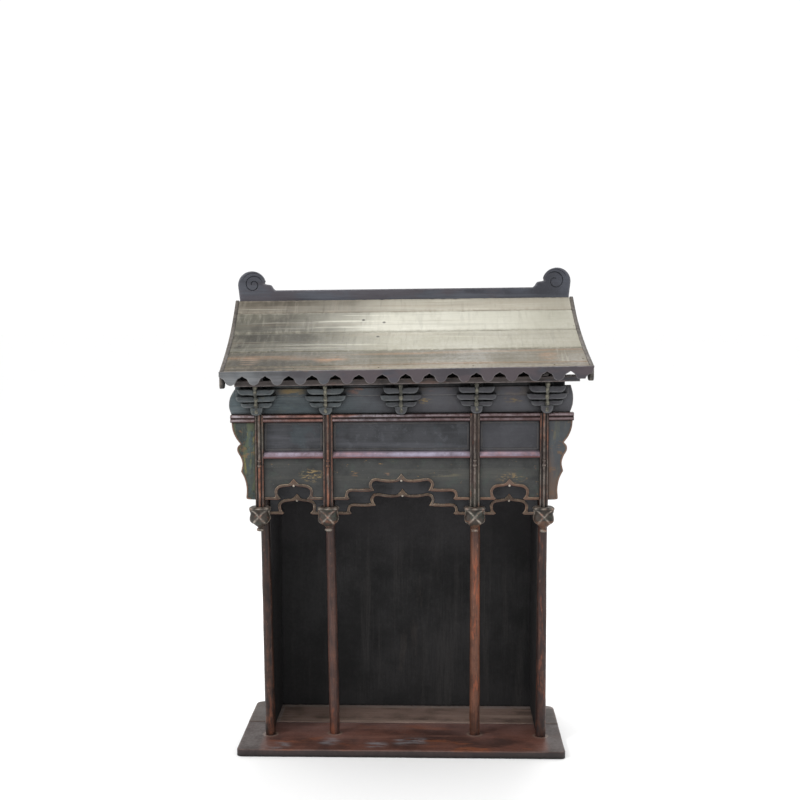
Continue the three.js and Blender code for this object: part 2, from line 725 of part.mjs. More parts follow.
function midRail() {
  const top = MID_RAIL_Z + MID_RAIL_HEIGHT;
  const nose = MID_RAIL_NOSE;
  const section = [
    [RAIL_BACK_Y, MID_RAIL_Z],
    [RAIL_BACK_Y, top],
    [PANEL_Y, top],
    [RAIL_FRONT_Y + nose / 2 + MID_RAIL_QUIRK[0], MID_RAIL_Z + nose + MID_RAIL_QUIRK[1]],
    ...beadArc(MID_RAIL_Z, nose, 5).reverse(),
  ];
  const reach = OUTER_POST_WIDTH / 2;
  const left = POST_X[0] - reach;
  const right = POST_X[3] + reach;
  return cut(sideBoard(section, left, right - left), postNotches(MID_RAIL_Z, top));
}

addPiece("top_rail", "moulding", topRail());
addPiece("mid_rail", "moulding", midRail());

// Wing boards: a scalloped outer edge with a raised rim
function wing(side) {
  const edge = WING_STRETCHES.flatMap((stretch, k) => smooth(stretch, 2).slice(k ? 1 : 0));
  const postX = Math.abs(side < 0 ? POST_X[0] : POST_X[3]) + OUTER_POST_WIDTH / 2 + GAP;
  const top = TOP_RAIL_Z - GAP;
  const foot = edge[edge.length - 1][1] - WING_FOOT_DROP;
  const outline = [[postX, top], [edge[0][0], top], ...edge.slice(1), [postX, foot]];
  const ends = [[edge[0][0], top + WING_RIM], [postX, FRONT_VALANCE_Z]];
  const rimInside = offsetControls([ends[0], ...edge.slice(1), ends[1]], WING_RIM);
  const rim = [[edge[0][0] - WING_RIM, top], [edge[0][0], top], ...edge.slice(1)].concat(
    rimInside.slice().reverse(),
  );
  const face = (points) => (side < 0 ? mirrored(points) : points);
  return join([
    frontBoard(face(outline), WING_Y, WING_THICKNESS),
    frontBoard(face(rim), WING_Y - WING_RIM_RELIEF, WING_RIM_RELIEF + LAP),
  ]);
}

addPiece("wing_left", "wing", wing(-1));
addPiece("wing_right", "wing", wing(1));

// Frieze: a board with swelling ends, a batten, and an upper part halved over the side walls' arms
function friezeBoard() {
  const height = FRIEZE_TOP_Z - FRIEZE_Z;
  const half = TOP_RAIL_HALF_LENGTH - FRIEZE_END_INSET;
  const riseTop = roofZ(FRIEZE_Y) - PLANK_DROP - FRIEZE_RISE_CLEARANCE - FRIEZE_Z;
  const riseRight = half - FRIEZE_RISE_RIGHT_INSET;
  const [leftEnd, rightEnd] = [FRIEZE_LEFT_END, FRIEZE_RIGHT_END].map((end) =>
    smooth(end.map(([reach, share]) => [half + reach, share * height]), 3),
  );
  const rise = [[riseRight, height], [riseRight, riseTop], [-half, riseTop]];
  const outline = translated([...mirrored(leftEnd), ...rightEnd, ...rise], 0, FRIEZE_Z);
  const batten = box(
    -half,
    half,
    FRIEZE_Y - FRIEZE_BATTEN_RELIEF,
    FRIEZE_Y + LAP,
    FRIEZE_BATTEN_Z,
    FRIEZE_BATTEN_Z + FRIEZE_BATTEN_HEIGHT,
  );
  const walls = [LEFT_WALL_INNER_X - WALL_THICKNESS, RIGHT_WALL_INNER_X];
  const slots = walls.map((x) =>
    box(
      x - GAP,
      x + WALL_THICKNESS + GAP,
      FRIEZE_Y - LAP,
      FRIEZE_Y + FRIEZE_THICKNESS + LAP,
      EAVE_PLANK_TOP_Z,
      EAVE_Z + ROOF_RISE,
    ),
  );
  return cut(join([frontBoard(outline, FRIEZE_Y, FRIEZE_THICKNESS), batten]), slots);
}

addPiece("frieze_board", "frieze", friezeBoard());

// A bracket cluster: a base block, three tiers of boat-shaped arms and a nose down the middle
const BRACKET_BACK_Y = FRIEZE_Y - FRIEZE_BATTEN_RELIEF - GAP;
const BRACKET_FOOT_Z = TOP_RAIL_Z + TOP_RAIL_HEIGHT + GAP;

function boat(half, height) {
  const r = Math.min(height, half) * BOW_ROUNDNESS;
  const bow = [0, 1, 2].map((i) => {
    const a = -Math.PI / 2 + (i * Math.PI) / 4;
    return [half - r + r * Math.cos(a), r + r * Math.sin(a)];
  });
  return [...bow, [half, height], [-half, height], ...mirrored(bow)];
}

function bracket(x) {
  const top = EAVE_PLANK_Z - GAP;
  const arm = (z, { height, half, frontY }) =>
    frontBoard(translated(boat(half, height), x, z), frontY, BRACKET_BACK_Y - frontY);
  const core = box(
    x - BRACKET_CORE.half,
    x + BRACKET_CORE.half,
    BRACKET_CORE.frontY,
    BRACKET_BACK_Y,
    BRACKET_FOOT_Z + BRACKET_CORE.z,
    top,
  );
  const noseFoot = BRACKET_FOOT_Z + BRACKET_NOSE_FOOT;
  const noseSide = [
    [BRACKET_NOSE_BACK_Y, noseFoot],
    [BRACKET_NOSE_BACK_Y, top],
    ...BRACKET_NOSE_FRONT.map(([y, depth]) => [y, top - depth]),
    [BRACKET_NOSE_FOOT_Y, noseFoot],
  ];
  return join([
    core,
    arm(BRACKET_FOOT_Z, BRACKET_FOOT),
    ...BRACKET_TIERS.map((tier) => arm(BRACKET_FOOT_Z + tier.z, tier)),
    sideBoard(noseSide, x - BRACKET_NOSE / 2, BRACKET_NOSE),
  ]);
}

const overPosts = POST_X.map((x, i) => x + Math.sign(x) * BRACKET_OUTWARD[i]);
const bracketX = [...overPosts.slice(0, 2), MIDDLE_BRACKET_X, ...overPosts.slice(2)];
bracketX.forEach((x, i) => addPiece("bracket_" + (i + 1), "frieze", bracket(x)));
addPiece(
  "eave_plank",
  "trim",
  box(
    -TOP_RAIL_HALF_LENGTH + EAVE_PLANK_LEFT_INSET,
    TOP_RAIL_HALF_LENGTH + EAVE_PLANK_RIGHT_EXTRA,
    EAVE_PLANK_FRONT_Y,
    FRIEZE_Y - GAP,
    EAVE_PLANK_Z,
    EAVE_PLANK_TOP_Z,
  ),
);

// Roof planks, from the eave up
const PLANK_HALF = ROOF_HALF_WIDTH - BARGE_THICKNESS - GAP;
SEAMS.slice(1).forEach((backY, i) => {
  const frontY = SEAMS[i] + (i ? GAP : 0);
  const section = [...slopeLine(frontY, backY, PLANK_DROP), ...slopeLine(frontY, backY, 0).reverse()];
  addPiece("roof_plank_" + (i + 1), "roof", sideBoard(section, -PLANK_HALF, 2 * PLANK_HALF), true);
});

// Barge boards: the slope's curve with a hook at the foot
function bargeBoard(side) {
  const foot = roofZ(EAVE_Y) + (side < 0 ? 0 : RIGHT_HOOK_RISE);
  const hook = BARGE_HOOK.map(([back, drop]) => [EAVE_Y + back, foot - drop]);
  const outline = [
    ...hook,
    ...slopeLine(EAVE_Y + BARGE_HOOK_END, RIDGE_Y, BARGE_DEPTH),
    ...slopeLine(EAVE_Y + GAP, RIDGE_Y, 0).reverse(),
  ];
  const leftX = side < 0 ? -ROOF_HALF_WIDTH : ROOF_HALF_WIDTH - BARGE_THICKNESS;
  return sideBoard(outline, leftX, BARGE_THICKNESS);
}

addPiece("barge_board_left", "trim", bargeBoard(-1), true);
addPiece("barge_board_right", "trim", bargeBoard(1), true);

// Fascia: round tongues between pointed notches, the last tongue broken off square
function fascia() {
  const pitch = (2 * ROOF_HALF_WIDTH) / FASCIA_LOBES;
  const tongue = [...TONGUE, ...TONGUE.slice(1, -1).reverse().map(([s, h]) => [1 - s, h])];
  const edge = [];
  for (let i = 0; i < FASCIA_LOBES; i++) {
    for (const [s, h] of i === FASCIA_LOBES - 1 ? BROKEN_TONGUE : tongue) {
      edge.push([-ROOF_HALF_WIDTH + (i + s) * pitch, EAVE_Z - FASCIA_HEIGHT + h * FASCIA_NOTCH]);
    }
  }
  const outline = [
    ...edge,
    [ROOF_HALF_WIDTH - 2, EAVE_Z - FASCIA_HEIGHT + FASCIA_NOTCH],
    [ROOF_HALF_WIDTH, EAVE_Z],
    [-ROOF_HALF_WIDTH, EAVE_Z],
  ];
  return frontBoard(outline, EAVE_Y - GAP - FASCIA_THICKNESS, FASCIA_THICKNESS);
}

addPiece("fascia", "trim", fascia(), true);

// Ridge board: a straight board with a domed scroll and a small step at each end
const RIDGE_HALF_LENGTH = ROOF_HALF_WIDTH - RIDGE_END_INSET;

function scrollHead() {
  const r = SCROLL_RADIUS;
  const centreX = RIDGE_HALF_LENGTH - r;
  const centreZ = SCROLL_TOP_Z - r;
  const dome = Array.from({ length: SCROLL_DOME_STEPS + 1 }, (_, i) => {
    const a = (SCROLL_DOME_FROM + (i / SCROLL_DOME_STEPS) * SCROLL_DOME_SWEEP) * (Math.PI / 180);
    return [centreX + r * Math.cos(a), centreZ + r * Math.sin(a)];
  });
  const inside = centreX - r;
  const outside = RIDGE_HALF_LENGTH - SCROLL_END_INSET;
  const step = SCROLL_STEP_LINE.map(([x, z]) => [inside + x, centreZ + z]);
  step.push([inside - SCROLL_STEP, RIDGE_TOP_Z]);
  return [[outside, RIDGE_FOOT_Z], [outside, centreZ - SCROLL_CHEEK], ...dome, ...step];
}

// An incised spiral, as a thin curved wedge that is cut into the face
function scrollGroove(side) {
  const centreX = RIDGE_HALF_LENGTH - SCROLL_RADIUS - SCROLL_END_INSET;
  const centreZ = SCROLL_TOP_Z - SCROLL_RADIUS + 1;
  const line = (inset) =>
    Array.from({ length: SPIRAL_STEPS + 1 }, (_, i) => {
      const t = i / SPIRAL_STEPS;
      const a = Math.PI * 0.9 - t * SPIRAL_TURNS * 2 * Math.PI;
      const r = SPIRAL_RADIUS + (SPIRAL_EYE - SPIRAL_RADIUS) * t - inset;
      return [centreX + r * Math.cos(a), centreZ + r * Math.sin(a)];
    });
  const points = [...line(0), ...line(SPIRAL_WIDTH).reverse()];
  return frontBoard(side < 0 ? mirrored(points) : points, RIDGE_FRONT_Y - 1, 1 + SPIRAL_DEPTH);
}

function ridgeBoard() {
  const right = scrollHead();
  const board = frontBoard([...right, ...mirrored(right)], RIDGE_FRONT_Y, RIDGE_THICKNESS);
  return cut(board, [scrollGroove(-1), scrollGroove(1)]);
}

addPiece("ridge_board", "trim", ridgeBoard(), true);

// The origin goes to the middle of the bottom of the whole shrine
const whole = new THREE.Box3().setFromObject(shrine);
const middle = whole.getCenter(new THREE.Vector3());
shrine.position.set(-middle.x, -middle.y, -whole.min.z);

export default shrine;
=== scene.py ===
import math

import bmesh
import bpy
from mathutils import Matrix, Vector, noise


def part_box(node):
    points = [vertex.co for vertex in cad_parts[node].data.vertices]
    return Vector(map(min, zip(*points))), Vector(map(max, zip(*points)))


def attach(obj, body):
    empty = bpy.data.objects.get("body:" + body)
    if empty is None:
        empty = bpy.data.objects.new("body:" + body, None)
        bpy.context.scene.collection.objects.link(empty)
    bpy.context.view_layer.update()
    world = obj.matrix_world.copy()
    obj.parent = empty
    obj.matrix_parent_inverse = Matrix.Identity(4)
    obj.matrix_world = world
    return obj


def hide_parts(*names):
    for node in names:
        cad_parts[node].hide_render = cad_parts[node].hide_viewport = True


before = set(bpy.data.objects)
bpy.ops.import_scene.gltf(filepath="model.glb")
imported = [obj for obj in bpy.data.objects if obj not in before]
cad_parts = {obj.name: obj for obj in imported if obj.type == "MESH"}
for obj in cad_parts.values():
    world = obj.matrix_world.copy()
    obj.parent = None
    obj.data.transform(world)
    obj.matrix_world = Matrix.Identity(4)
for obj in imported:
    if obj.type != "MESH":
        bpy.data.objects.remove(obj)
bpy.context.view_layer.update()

# sizes shared with the solids
BASE_LEFT_X = -380
BASE_RIGHT_X = 376
BASE_THICKNESS = 17
FLOOR_Z = 18.2
BASE_SEAM_Y = 195
BASE_BACK_LEFT_Y = 354
BASE_BACK_RIGHT_Y = 332
BASE_FRONT_CORNER_RADIUS = 12
BASE_BACK_CORNER_RADIUS = 20
GAP = 0.3

COLUMN_FOOT_X = [-314.2, -162, 171, 326.8]
COLUMN_TOP_X = [-324.2, -172, 170.5, 328.3]
COLUMN_FOOT_Y = [107, 118, 118, 109]
COLUMN_TOP_Y = 108
COLUMN_FOOT_RADIUS = 12.4
COLUMN_TOP_RADIUS = 10.4

LEFT_WALL_X = -311
RIGHT_WALL_X = 317
WALL_THICKNESS = 12
WALL_FRONT_Y = 122
BACK_PANEL_Y = 324
BACK_PANEL_THICKNESS = 11
CEILING_Z = 771
CEILING_THICKNESS = 12
ARM_Z = 700

POST_X = [-327, -169, 168, 326]
POST_HALF = [9.5, 11, 11, 9.5]
POST_FRONT_Y = 49
POST_DEPTH = 17
DROP_TOP_Z = 573
DROP_Y = 58
RAIL_FRONT_Y = 49.5
RAIL_BACK_Y = 73.5
RAIL_STRIP_Y = 67
TOP_RAIL_Z = 770.5
TOP_RAIL_TOP_Z = 788
TOP_RAIL_HALF = 393
MID_RAIL_Z = 686
MID_RAIL_TOP_Z = 702
RAIL_BEAD = 8.25
MID_RAIL_BEAD = 5
PANEL_Y = 61
PANEL_THICKNESS = 7

VALANCE_THICKNESS = 7
VALANCE_BORDER = 6.5
VALANCE_RELIEF = 2.4
PEAK_RISE = 15
# Foot, top and front of the boards
FRONT_VALANCE = (589, 685.7, 58)
INNER_VALANCE = (547, 699, 104)
SMALL_ARCH = [[(31, 3), (37, 11), (38, 21), (32, 28), (20, 30.5), (9, 32), (0, 34.5)]]
WIDE_ARCH = [
    [(119.5, 3), (123.5, 9), (121.5, 16.5), (115, 19.5), (94, 19), (76, 19.5), (62.5, 21.5)],
    [(62.5, 21.5), (66.5, 28.5), (68.5, 36), (64.5, 42.5), (57, 44), (41, 41.5), (25, 40.5), (10, 42),
     (0, 46)],
]

WING_Y = 56.5
WING_THICKNESS = 9
WING_RIM = 3.5
WING_RIM_RELIEF = 1.5
WING_STRETCHES = [
    [(391, 770), (388.5, 752), (381.5, 735), (371, 720.5)],
    [(371, 720.5), (377.5, 713.5), (378, 703), (370, 688), (366.5, 673), (370, 656)],
    [(370, 656), (361.5, 638), (357.5, 616), (358.5, 596)],
    [(358.5, 596), (357, 591.5), (348, 590)],
]

# Depth and half width of the drop
DROP_RINGS = [
    (0, 22), (2, 25), (5, 25.4), (14, 22.2), (24, 24), (32, 23.2), (39, 17.5), (47, 7), (50, 5.4), (52, 8),
    (56, 8), (58, 4.5),
]

FRIEZE_Z = 788.5
FRIEZE_TOP_Z = 849
FRIEZE_Y = 62
FRIEZE_THICKNESS = 8
FRIEZE_HALF = 381
FRIEZE_LEFT_END = [(11, 0), (16, 0.3), (13.5, 0.66), (2, 1)]
FRIEZE_RIGHT_END = [(4, 0), (10, 0.3), (10.5, 0.66), (5.5, 1)]
BATTEN_Z = 829.5
BATTEN_TOP_Z = 849
BATTEN_RELIEF = 2.5
BRACKET_X = [-332, -172.5, -0.5, 171.5, 331]
BRACKET_FOOT_Z = 788.3
BRACKET_TOP_Z = 858.7
BRACKET_BACK_Y = 59.2
FRIEZE_RISE_RIGHT = 373
FRIEZE_RISE_CLEARANCE = 1.5
# Both ends, front, back, underside and top
EAVE_PLANK = (-377, 402, 13, 61.7, 859, 872)

ROOF_HALF = 415.5
EAVE_Y = -31
EAVE_Z = 896.5
RIDGE_Y = 305.4
ROOF_RISE = 153.7
EAVE_SLOPE = 0.31
RIDGE_SLOPE = 0.78
PLANK_THICKNESS = 9
PLANK_DROP = PLANK_THICKNESS * math.hypot(1, RIDGE_SLOPE)
ROOF_SEAMS_Y = [EAVE_Y, -5, 85, 182, 263, RIDGE_Y]
BARGE_THICKNESS = 9
BARGE_DEPTH = 24
BARGE_HOOK = [(0.3, 31), (4, 37), (9, 38.5), (31, 37.5), (40, 25)]
BARGE_HOOK_END = 50
RIGHT_HOOK_RISE = 5
PLANK_HALF = ROOF_HALF - BARGE_THICKNESS - GAP
FASCIA_THICKNESS = 8
FASCIA_LOBES = 16
FASCIA_HEIGHT = 31.5
FASCIA_NOTCH = 21.5
TONGUE = [(0, 1), (0.09, 0.84), (0.2, 0.69), (0.25, 0.5), (0.3, 0.26), (0.37, 0.1), (0.5, 0)]
BROKEN_TONGUE = [
    (0, 1), (0.09, 0.84), (0.2, 0.62), (0.245, 0.33), (0.3, 0.16), (0.62, 0.16), (0.68, 0.45), (0.78, 0.66),
    (0.92, 0.72),
]

RIDGE_FRONT_Y = 305.7
RIDGE_THICKNESS = 18
RIDGE_HALF = 409.5
RIDGE_FOOT_Z = 1030
RIDGE_TOP_Z = 1074
SCROLL_RADIUS = 34
SCROLL_TOP_Z = 1121.5
SCROLL_STEP = 24
SCROLL_STEP_LINE = [(3, 3), (-1, 1.5), (-10.8, 0), (-14.9, -3), (-19.2, -9.5)]

# How far the old joints have given way, and how far the roof has slid
SETTLING = [(0, 0), (500, 0), (780, 0.0087), (845, 0.0115), (858, 0.0165), (893, 0.0165), (1050, 0.0104)]
ROOF_SLIDE = [(EAVE_Y, 12.2), (RIDGE_Y, -1)]

base_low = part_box("base_front_board")[0]
ORIGIN_X = BASE_LEFT_X - base_low[0] * 1000
ORIGIN_Y = -base_low[1] * 1000


# small geometry
def table(pairs, place):
    """The value at a place, in a line through (place, value) pairs."""
    for (p0, v0), (p1, v1) in zip(pairs, pairs[1:]):
        if place <= p1:
            return v0 + (v1 - v0) * max(place - p0, 0) / (p1 - p0)
    return pairs[-1][1]


def smooth(points, steps):
    """A rounded line through the points."""
    out = []
    last = len(points) - 1
    for i in range(last):
        p0, p1, p2, p3 = points[max(i - 1, 0)], points[i], points[i + 1], points[min(i + 2, last)]
        for k in range(steps):
            t = k / steps
            out.append(tuple(
                p1[a]
                + (p2[a] - p0[a]) / 2 * t
                + (-3 * p1[a] + 3 * p2[a] - (p2[a] - p0[a]) - (p3[a] - p1[a]) / 2) * t * t
                + (2 * p1[a] - 2 * p2[a] + (p2[a] - p0[a]) / 2 + (p3[a] - p1[a]) / 2) * t * t * t
                for a in (0, 1)
            ))
    return out + [tuple(points[-1])]


def smooth_all(stretches, steps):
    """Rounded stretches that meet in corners."""
    line = []
    for stretch in stretches:
        line += smooth(stretch, steps)[1 if line else 0:]
    return line


def mirrored(points):
    return [(-x, z) for x, z in reversed(points)]


def moved(points, dx, dz):
    return [(x + dx, z + dz) for x, z in points]


def dense(points, step):
    """The same closed outline with a point at least every step."""
    out = []
    for (ax, az), (bx, bz) in zip(points, points[1:] + points[:1]):
        parts = max(1, math.ceil(math.hypot(bx - ax, bz - az) / step))
        out += [(ax + (bx - ax) * k / parts, az + (bz - az) * k / parts) for k in range(parts)]
    return out


def inset(points, by):
    """A closed outline drawn in by a distance."""
    if not by:
        return list(points)
    area = sum(a[0] * b[1] - b[0] * a[1] for a, b in zip(points, points[1:] + points[:1]))
    turn = 1 if area > 0 else -1
    out = []
    for i, (bx, bz) in enumerate(points):
        ax, az = points[i - 1]
        cx, cz = points[(i + 1) % len(points)]
        first = math.hypot(bx - ax, bz - az) or 1
        second = math.hypot(cx - bx, cz - bz) or 1
        mx = -(bz - az) / first - (cz - bz) / second
        mz = (bx - ax) / first + (cx - bx) / second
        size = math.hypot(mx, mz) or 1
        reach = by * turn / max(size / 2, 0.6) / size
        out.append((bx + mx * reach, bz + mz * reach))
    return untangled(out)


def untangled(points):
    """The same outline with its small loops drawn together, and as many points."""
    points = list(points)
    count = len(points)
    for i in range(count):
        for gap in range(2, 16):
            j = (i + gap) % count
            (ax, az), (bx, bz) = points[i], points[(i + 1) % count]
            (cx, cz), (dx, dz) = points[j], points[(j + 1) % count]
            det = (bx - ax) * (dz - cz) - (bz - az) * (dx - cx)
            if abs(det) < 1e-9:
                continue
            t = ((cx - ax) * (dz - cz) - (cz - az) * (dx - cx)) / det
            u = ((cx - ax) * (bz - az) - (cz - az) * (bx - ax)) / det
            if 0 < t < 1 and 0 < u < 1:
                for k in range(1, gap + 1):
                    points[(i + k) % count] = (ax + t * (bx - ax), az + t * (bz - az))
    return points


def offset_controls(points, width):
    """The points between the first and the last, moved sideways."""
    out = []
    for (ax, az), (x, z), (bx, bz) in zip(points, points[1:], points[2:]):
        length = math.hypot(bx - ax, bz - az)
        out.append((x + (bz - az) / length * width, z - (bx - ax) / length * width))
    return out


def rectangle(x0, x1, z0, z1):
    return [(x0, z0), (x1, z0), (x1, z1), (x0, z1)]


PLANES = {
    "xz": lambda p, place: (p[0], place, p[1]),
    "yz": lambda p, place: (place, p[0], p[1]),
    "xy": lambda p, place: (p[0], p[1], place),
}


class Shape:
    """Closed bodies gathered into one piece, with how worn each point is."""

    def __init__(self):
        self.points = []
        self.faces = []
        self.paints = []
        self.wear = []

    def loft(self, rings, paint=0):
        """Rings are lists of (x, y, z, wear) with as many points each. Both ends are closed."""
        start = len(self.points)
        count = len(rings[0])
        for ring in rings:
            for x, y, z, wear in ring:
                self.points.append((x, y, z))
                self.wear.append(wear)
        for r in range(len(rings) - 1):
            for k in range(count):
                a = start + r * count + k
                b = start + r * count + (k + 1) % count
                self.faces.append((a, b, b + count, a + count))
                self.paints.append(paint)
        last = start + (len(rings) - 1) * count
        self.faces.append(tuple(range(start + count - 1, start - 1, -1)))
        self.faces.append(tuple(range(last, last + count)))
        self.paints += [paint, paint]

    def board(self, outline, steps, plane="xz", paint=0):
        """A flat board: its outline, and (inset, place, wear) from one face to the other."""
        self.loft(
            [[(*PLANES[plane](p, place), wear) for p in inset(outline, by)] for by, place, wear in steps],
            paint,
        )

    def turned(self, profile, centre, segments=24, paint=0):
        """A round body from (radius, height, wear)."""
        cx, cy, cz = centre
        rings = []
        for radius, height, wear in profile:
            ring = []
            for k in range(segments):
                a = 2 * math.pi * k / segments
                ring.append((cx + radius * math.cos(a), cy + radius * math.sin(a), cz + height, wear))
            rings.append(ring)
        self.loft(rings, paint)


def board_steps(front, back, arris=0.9, worn=1.0, fade=2.4):
    """Both faces with a worn arris. Front is the lower place."""
    return [
        (arris + fade, front, 0.0),
        (arris, front, 0.75 * worn),
        (0, front + arris, worn),
        (0, back - arris, 0.35 * worn),
        (arris, back, 0.3 * worn),
        (arris + fade, back, 0.0),
    ]


# How far apart the slow waves and the lumps of a carved surface are
WAVE_LENGTH = 70
LUMP_LENGTH = 13
SHARP_ANGLE = math.radians(55)
WAVE_SEED = 7
# Without a seed the waves would differ from run to run
noise.seed_set(WAVE_SEED)


def in_row_frame(x, y, z, slides):
    """A point of the sound shrine where it lies now, in the row's frame."""
    settled = z + x * table(SETTLING, z)
    if slides:
        x += table(ROOF_SLIDE, y)
    return ((x - ORIGIN_X) / 1000, (y - ORIGIN_Y) / 1000, settled / 1000)


def faced_outwards(mesh):
    work = bmesh.new()
    work.from_mesh(mesh)
    bmesh.ops.recalc_face_normals(work, faces=work.faces)
    work.to_mesh(mesh)
    work.free()


def added(name, data):
    """A new object in the scene."""
    thing = bpy.data.objects.new(name, data)
    bpy.context.scene.collection.objects.link(thing)
    return thing


def finished(node, shape, materials, slides=False, wave=0.35, lumps=0.0, seed=0):
    """The shape as the piece that replaces a node: settled, slightly uneven, in the row's frame."""
    name = node + "_wood"
    mesh = bpy.data.meshes.new(name)
    placed = []
    for x, y, z in shape.points:
        n = noise.noise_vector(Vector((x, y, z + 40 * seed)) / WAVE_LENGTH) * wave
        if lumps:
            n += noise.noise_vector(Vector((x, y, z + 90 * seed)) / LUMP_LENGTH) * lumps
        placed.append(in_row_frame(x + n.x, y + n.y, max(z + n.z, 0.0), slides))
    mesh.from_pydata(placed, [], shape.faces)
    worn = mesh.attributes.new("wear", "FLOAT", "POINT")
    worn.data.foreach_set("value", shape.wear)
    for m in materials:
        mesh.materials.append(m)
    for face, paint in zip(mesh.polygons, shape.paints):
        face.material_index = paint
        face.use_smooth = True
    faced_outwards(mesh)
    mesh.set_sharp_from_angle(angle=SHARP_ANGLE)
    piece = added(name, mesh)
    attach(piece, "root")
    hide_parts(node)
    return piece


# materials
def srgb(r, g, b):
    def linear(v):
        v /= 255
        return v / 12.92 if v <= 0.04045 else ((v + 0.055) / 1.055) ** 2.4

    return (linear(r), linear(g), linear(b), 1.0)


class Tree:
    """A material's nodes, added one after another."""

    def __init__(self, name):
        self.material = bpy.data.materials.new(name)
        self.material.use_nodes = True
        self.nodes = self.material.node_tree.nodes
        self.links = self.material.node_tree.links
        self.nodes.clear()
        self.place = self.add("ShaderNodeTexCoord").outputs["Object"]

    def add(self, kind, inputs=None, **settings):
        n = self.nodes.new(kind)
        for key, value in settings.items():
            setattr(n, key, value)
        for key, value in (inputs or {}).items():
            if isinstance(value, bpy.types.NodeSocket):
                self.links.new(value, n.inputs[key])
            else:
                n.inputs[key].default_value = value
        return n

    def noise(self, scale, detail=3.0, stretch=(1, 1, 1), shift=0.0, roughness=0.55, distortion=0.0):
        mapping = self.add(
            "ShaderNodeMapping",
            {"Vector": self.place, "Scale": stretch, "Location": (shift, shift * 0.7, -shift)},
        )
        return self.add(
            "ShaderNodeTexNoise",
            {
                "Vector": mapping.outputs[0],
                "Scale": scale,
                "Detail": detail,
                "Roughness": roughness,
                "Distortion": distortion,
            },
        ).outputs[0]

    def ramp(self, value, low, high, to_low=0.0, to_high=1.0):
        return self.add(
            "ShaderNodeMapRange",
            {"Value": value, "From Min": low, "From Max": high, "To Min": to_low, "To Max": to_high},
            interpolation_type="SMOOTHSTEP",
        ).outputs[0]

    def fall(self, value, low, high):
        """1 up to the low value and 0 from the high one."""
        return self.ramp(value, low, high, 1.0, 0.0)

    def math(self, operation, a, b=0.0):
        return self.add("ShaderNodeMath", {0: a, 1: b}, operation=operation, use_clamp=True).outputs[0]

    def times(self, first, *others):
        """The product, kept between 0 and 1."""
        for other in others:
            first = self.math("MULTIPLY", first, other)
        return first

    def most(self, values):
        """The largest of the values."""
        largest = values[0]
        for value in values[1:]:
            largest = self.math("MAXIMUM", largest, value)
        return largest

    def sum(self, a, factor, b):
        """a * factor + b, not kept between 0 and 1."""
        return self.add("ShaderNodeMath", {0: a, 1: factor, 2: b}, operation="MULTIPLY_ADD").outputs[0]

    def apart(self, value, place=0.0):
        """How far a value is from a place."""
        away = self.add("ShaderNodeMath", {0: value, 1: place}, operation="SUBTRACT").outputs[0]
        return self.add("ShaderNodeMath", {0: away}, operation="ABSOLUTE").outputs[0]

    def away(self, spot, reach=(1, 1, 1)):
        """Distance from a spot in build millimetres, in shares of the reach. No reach leaves an axis out."""
        scale = tuple(1000 / r if r else 0 for r in reach)
        local = (spot[0] - ORIGIN_X, spot[1] - ORIGIN_Y, spot[2])
        shrunk = self.add("ShaderNodeVectorMath", {0: self.place, 1: scale}, operation="MULTIPLY").outputs[0]
        goal = tuple(v / r if r else 0 for v, r in zip(local, reach))
        return self.add("ShaderNodeVectorMath", {0: shrunk, 1: goal}, operation="DISTANCE").outputs["Value"]

    def upward(self):
        """How far a face looks up, from -1 to 1."""
        return self.axis("Z", self.add("ShaderNodeNewGeometry").outputs["Normal"])

    def mix(self, factor, a, b, blend="MIX"):
        return self.add(
            "ShaderNodeMix", {0: factor, 6: a, 7: b}, data_type="RGBA", blend_type=blend
        ).outputs[2]

    def axis(self, name, source=None):
        split = self.add("ShaderNodeSeparateXYZ", {0: source or self.place})
        return split.outputs[name]


GRAIN = {"x": (0.05, 1, 1), "y": (1, 0.05, 1), "z": (1, 1, 0.05)}


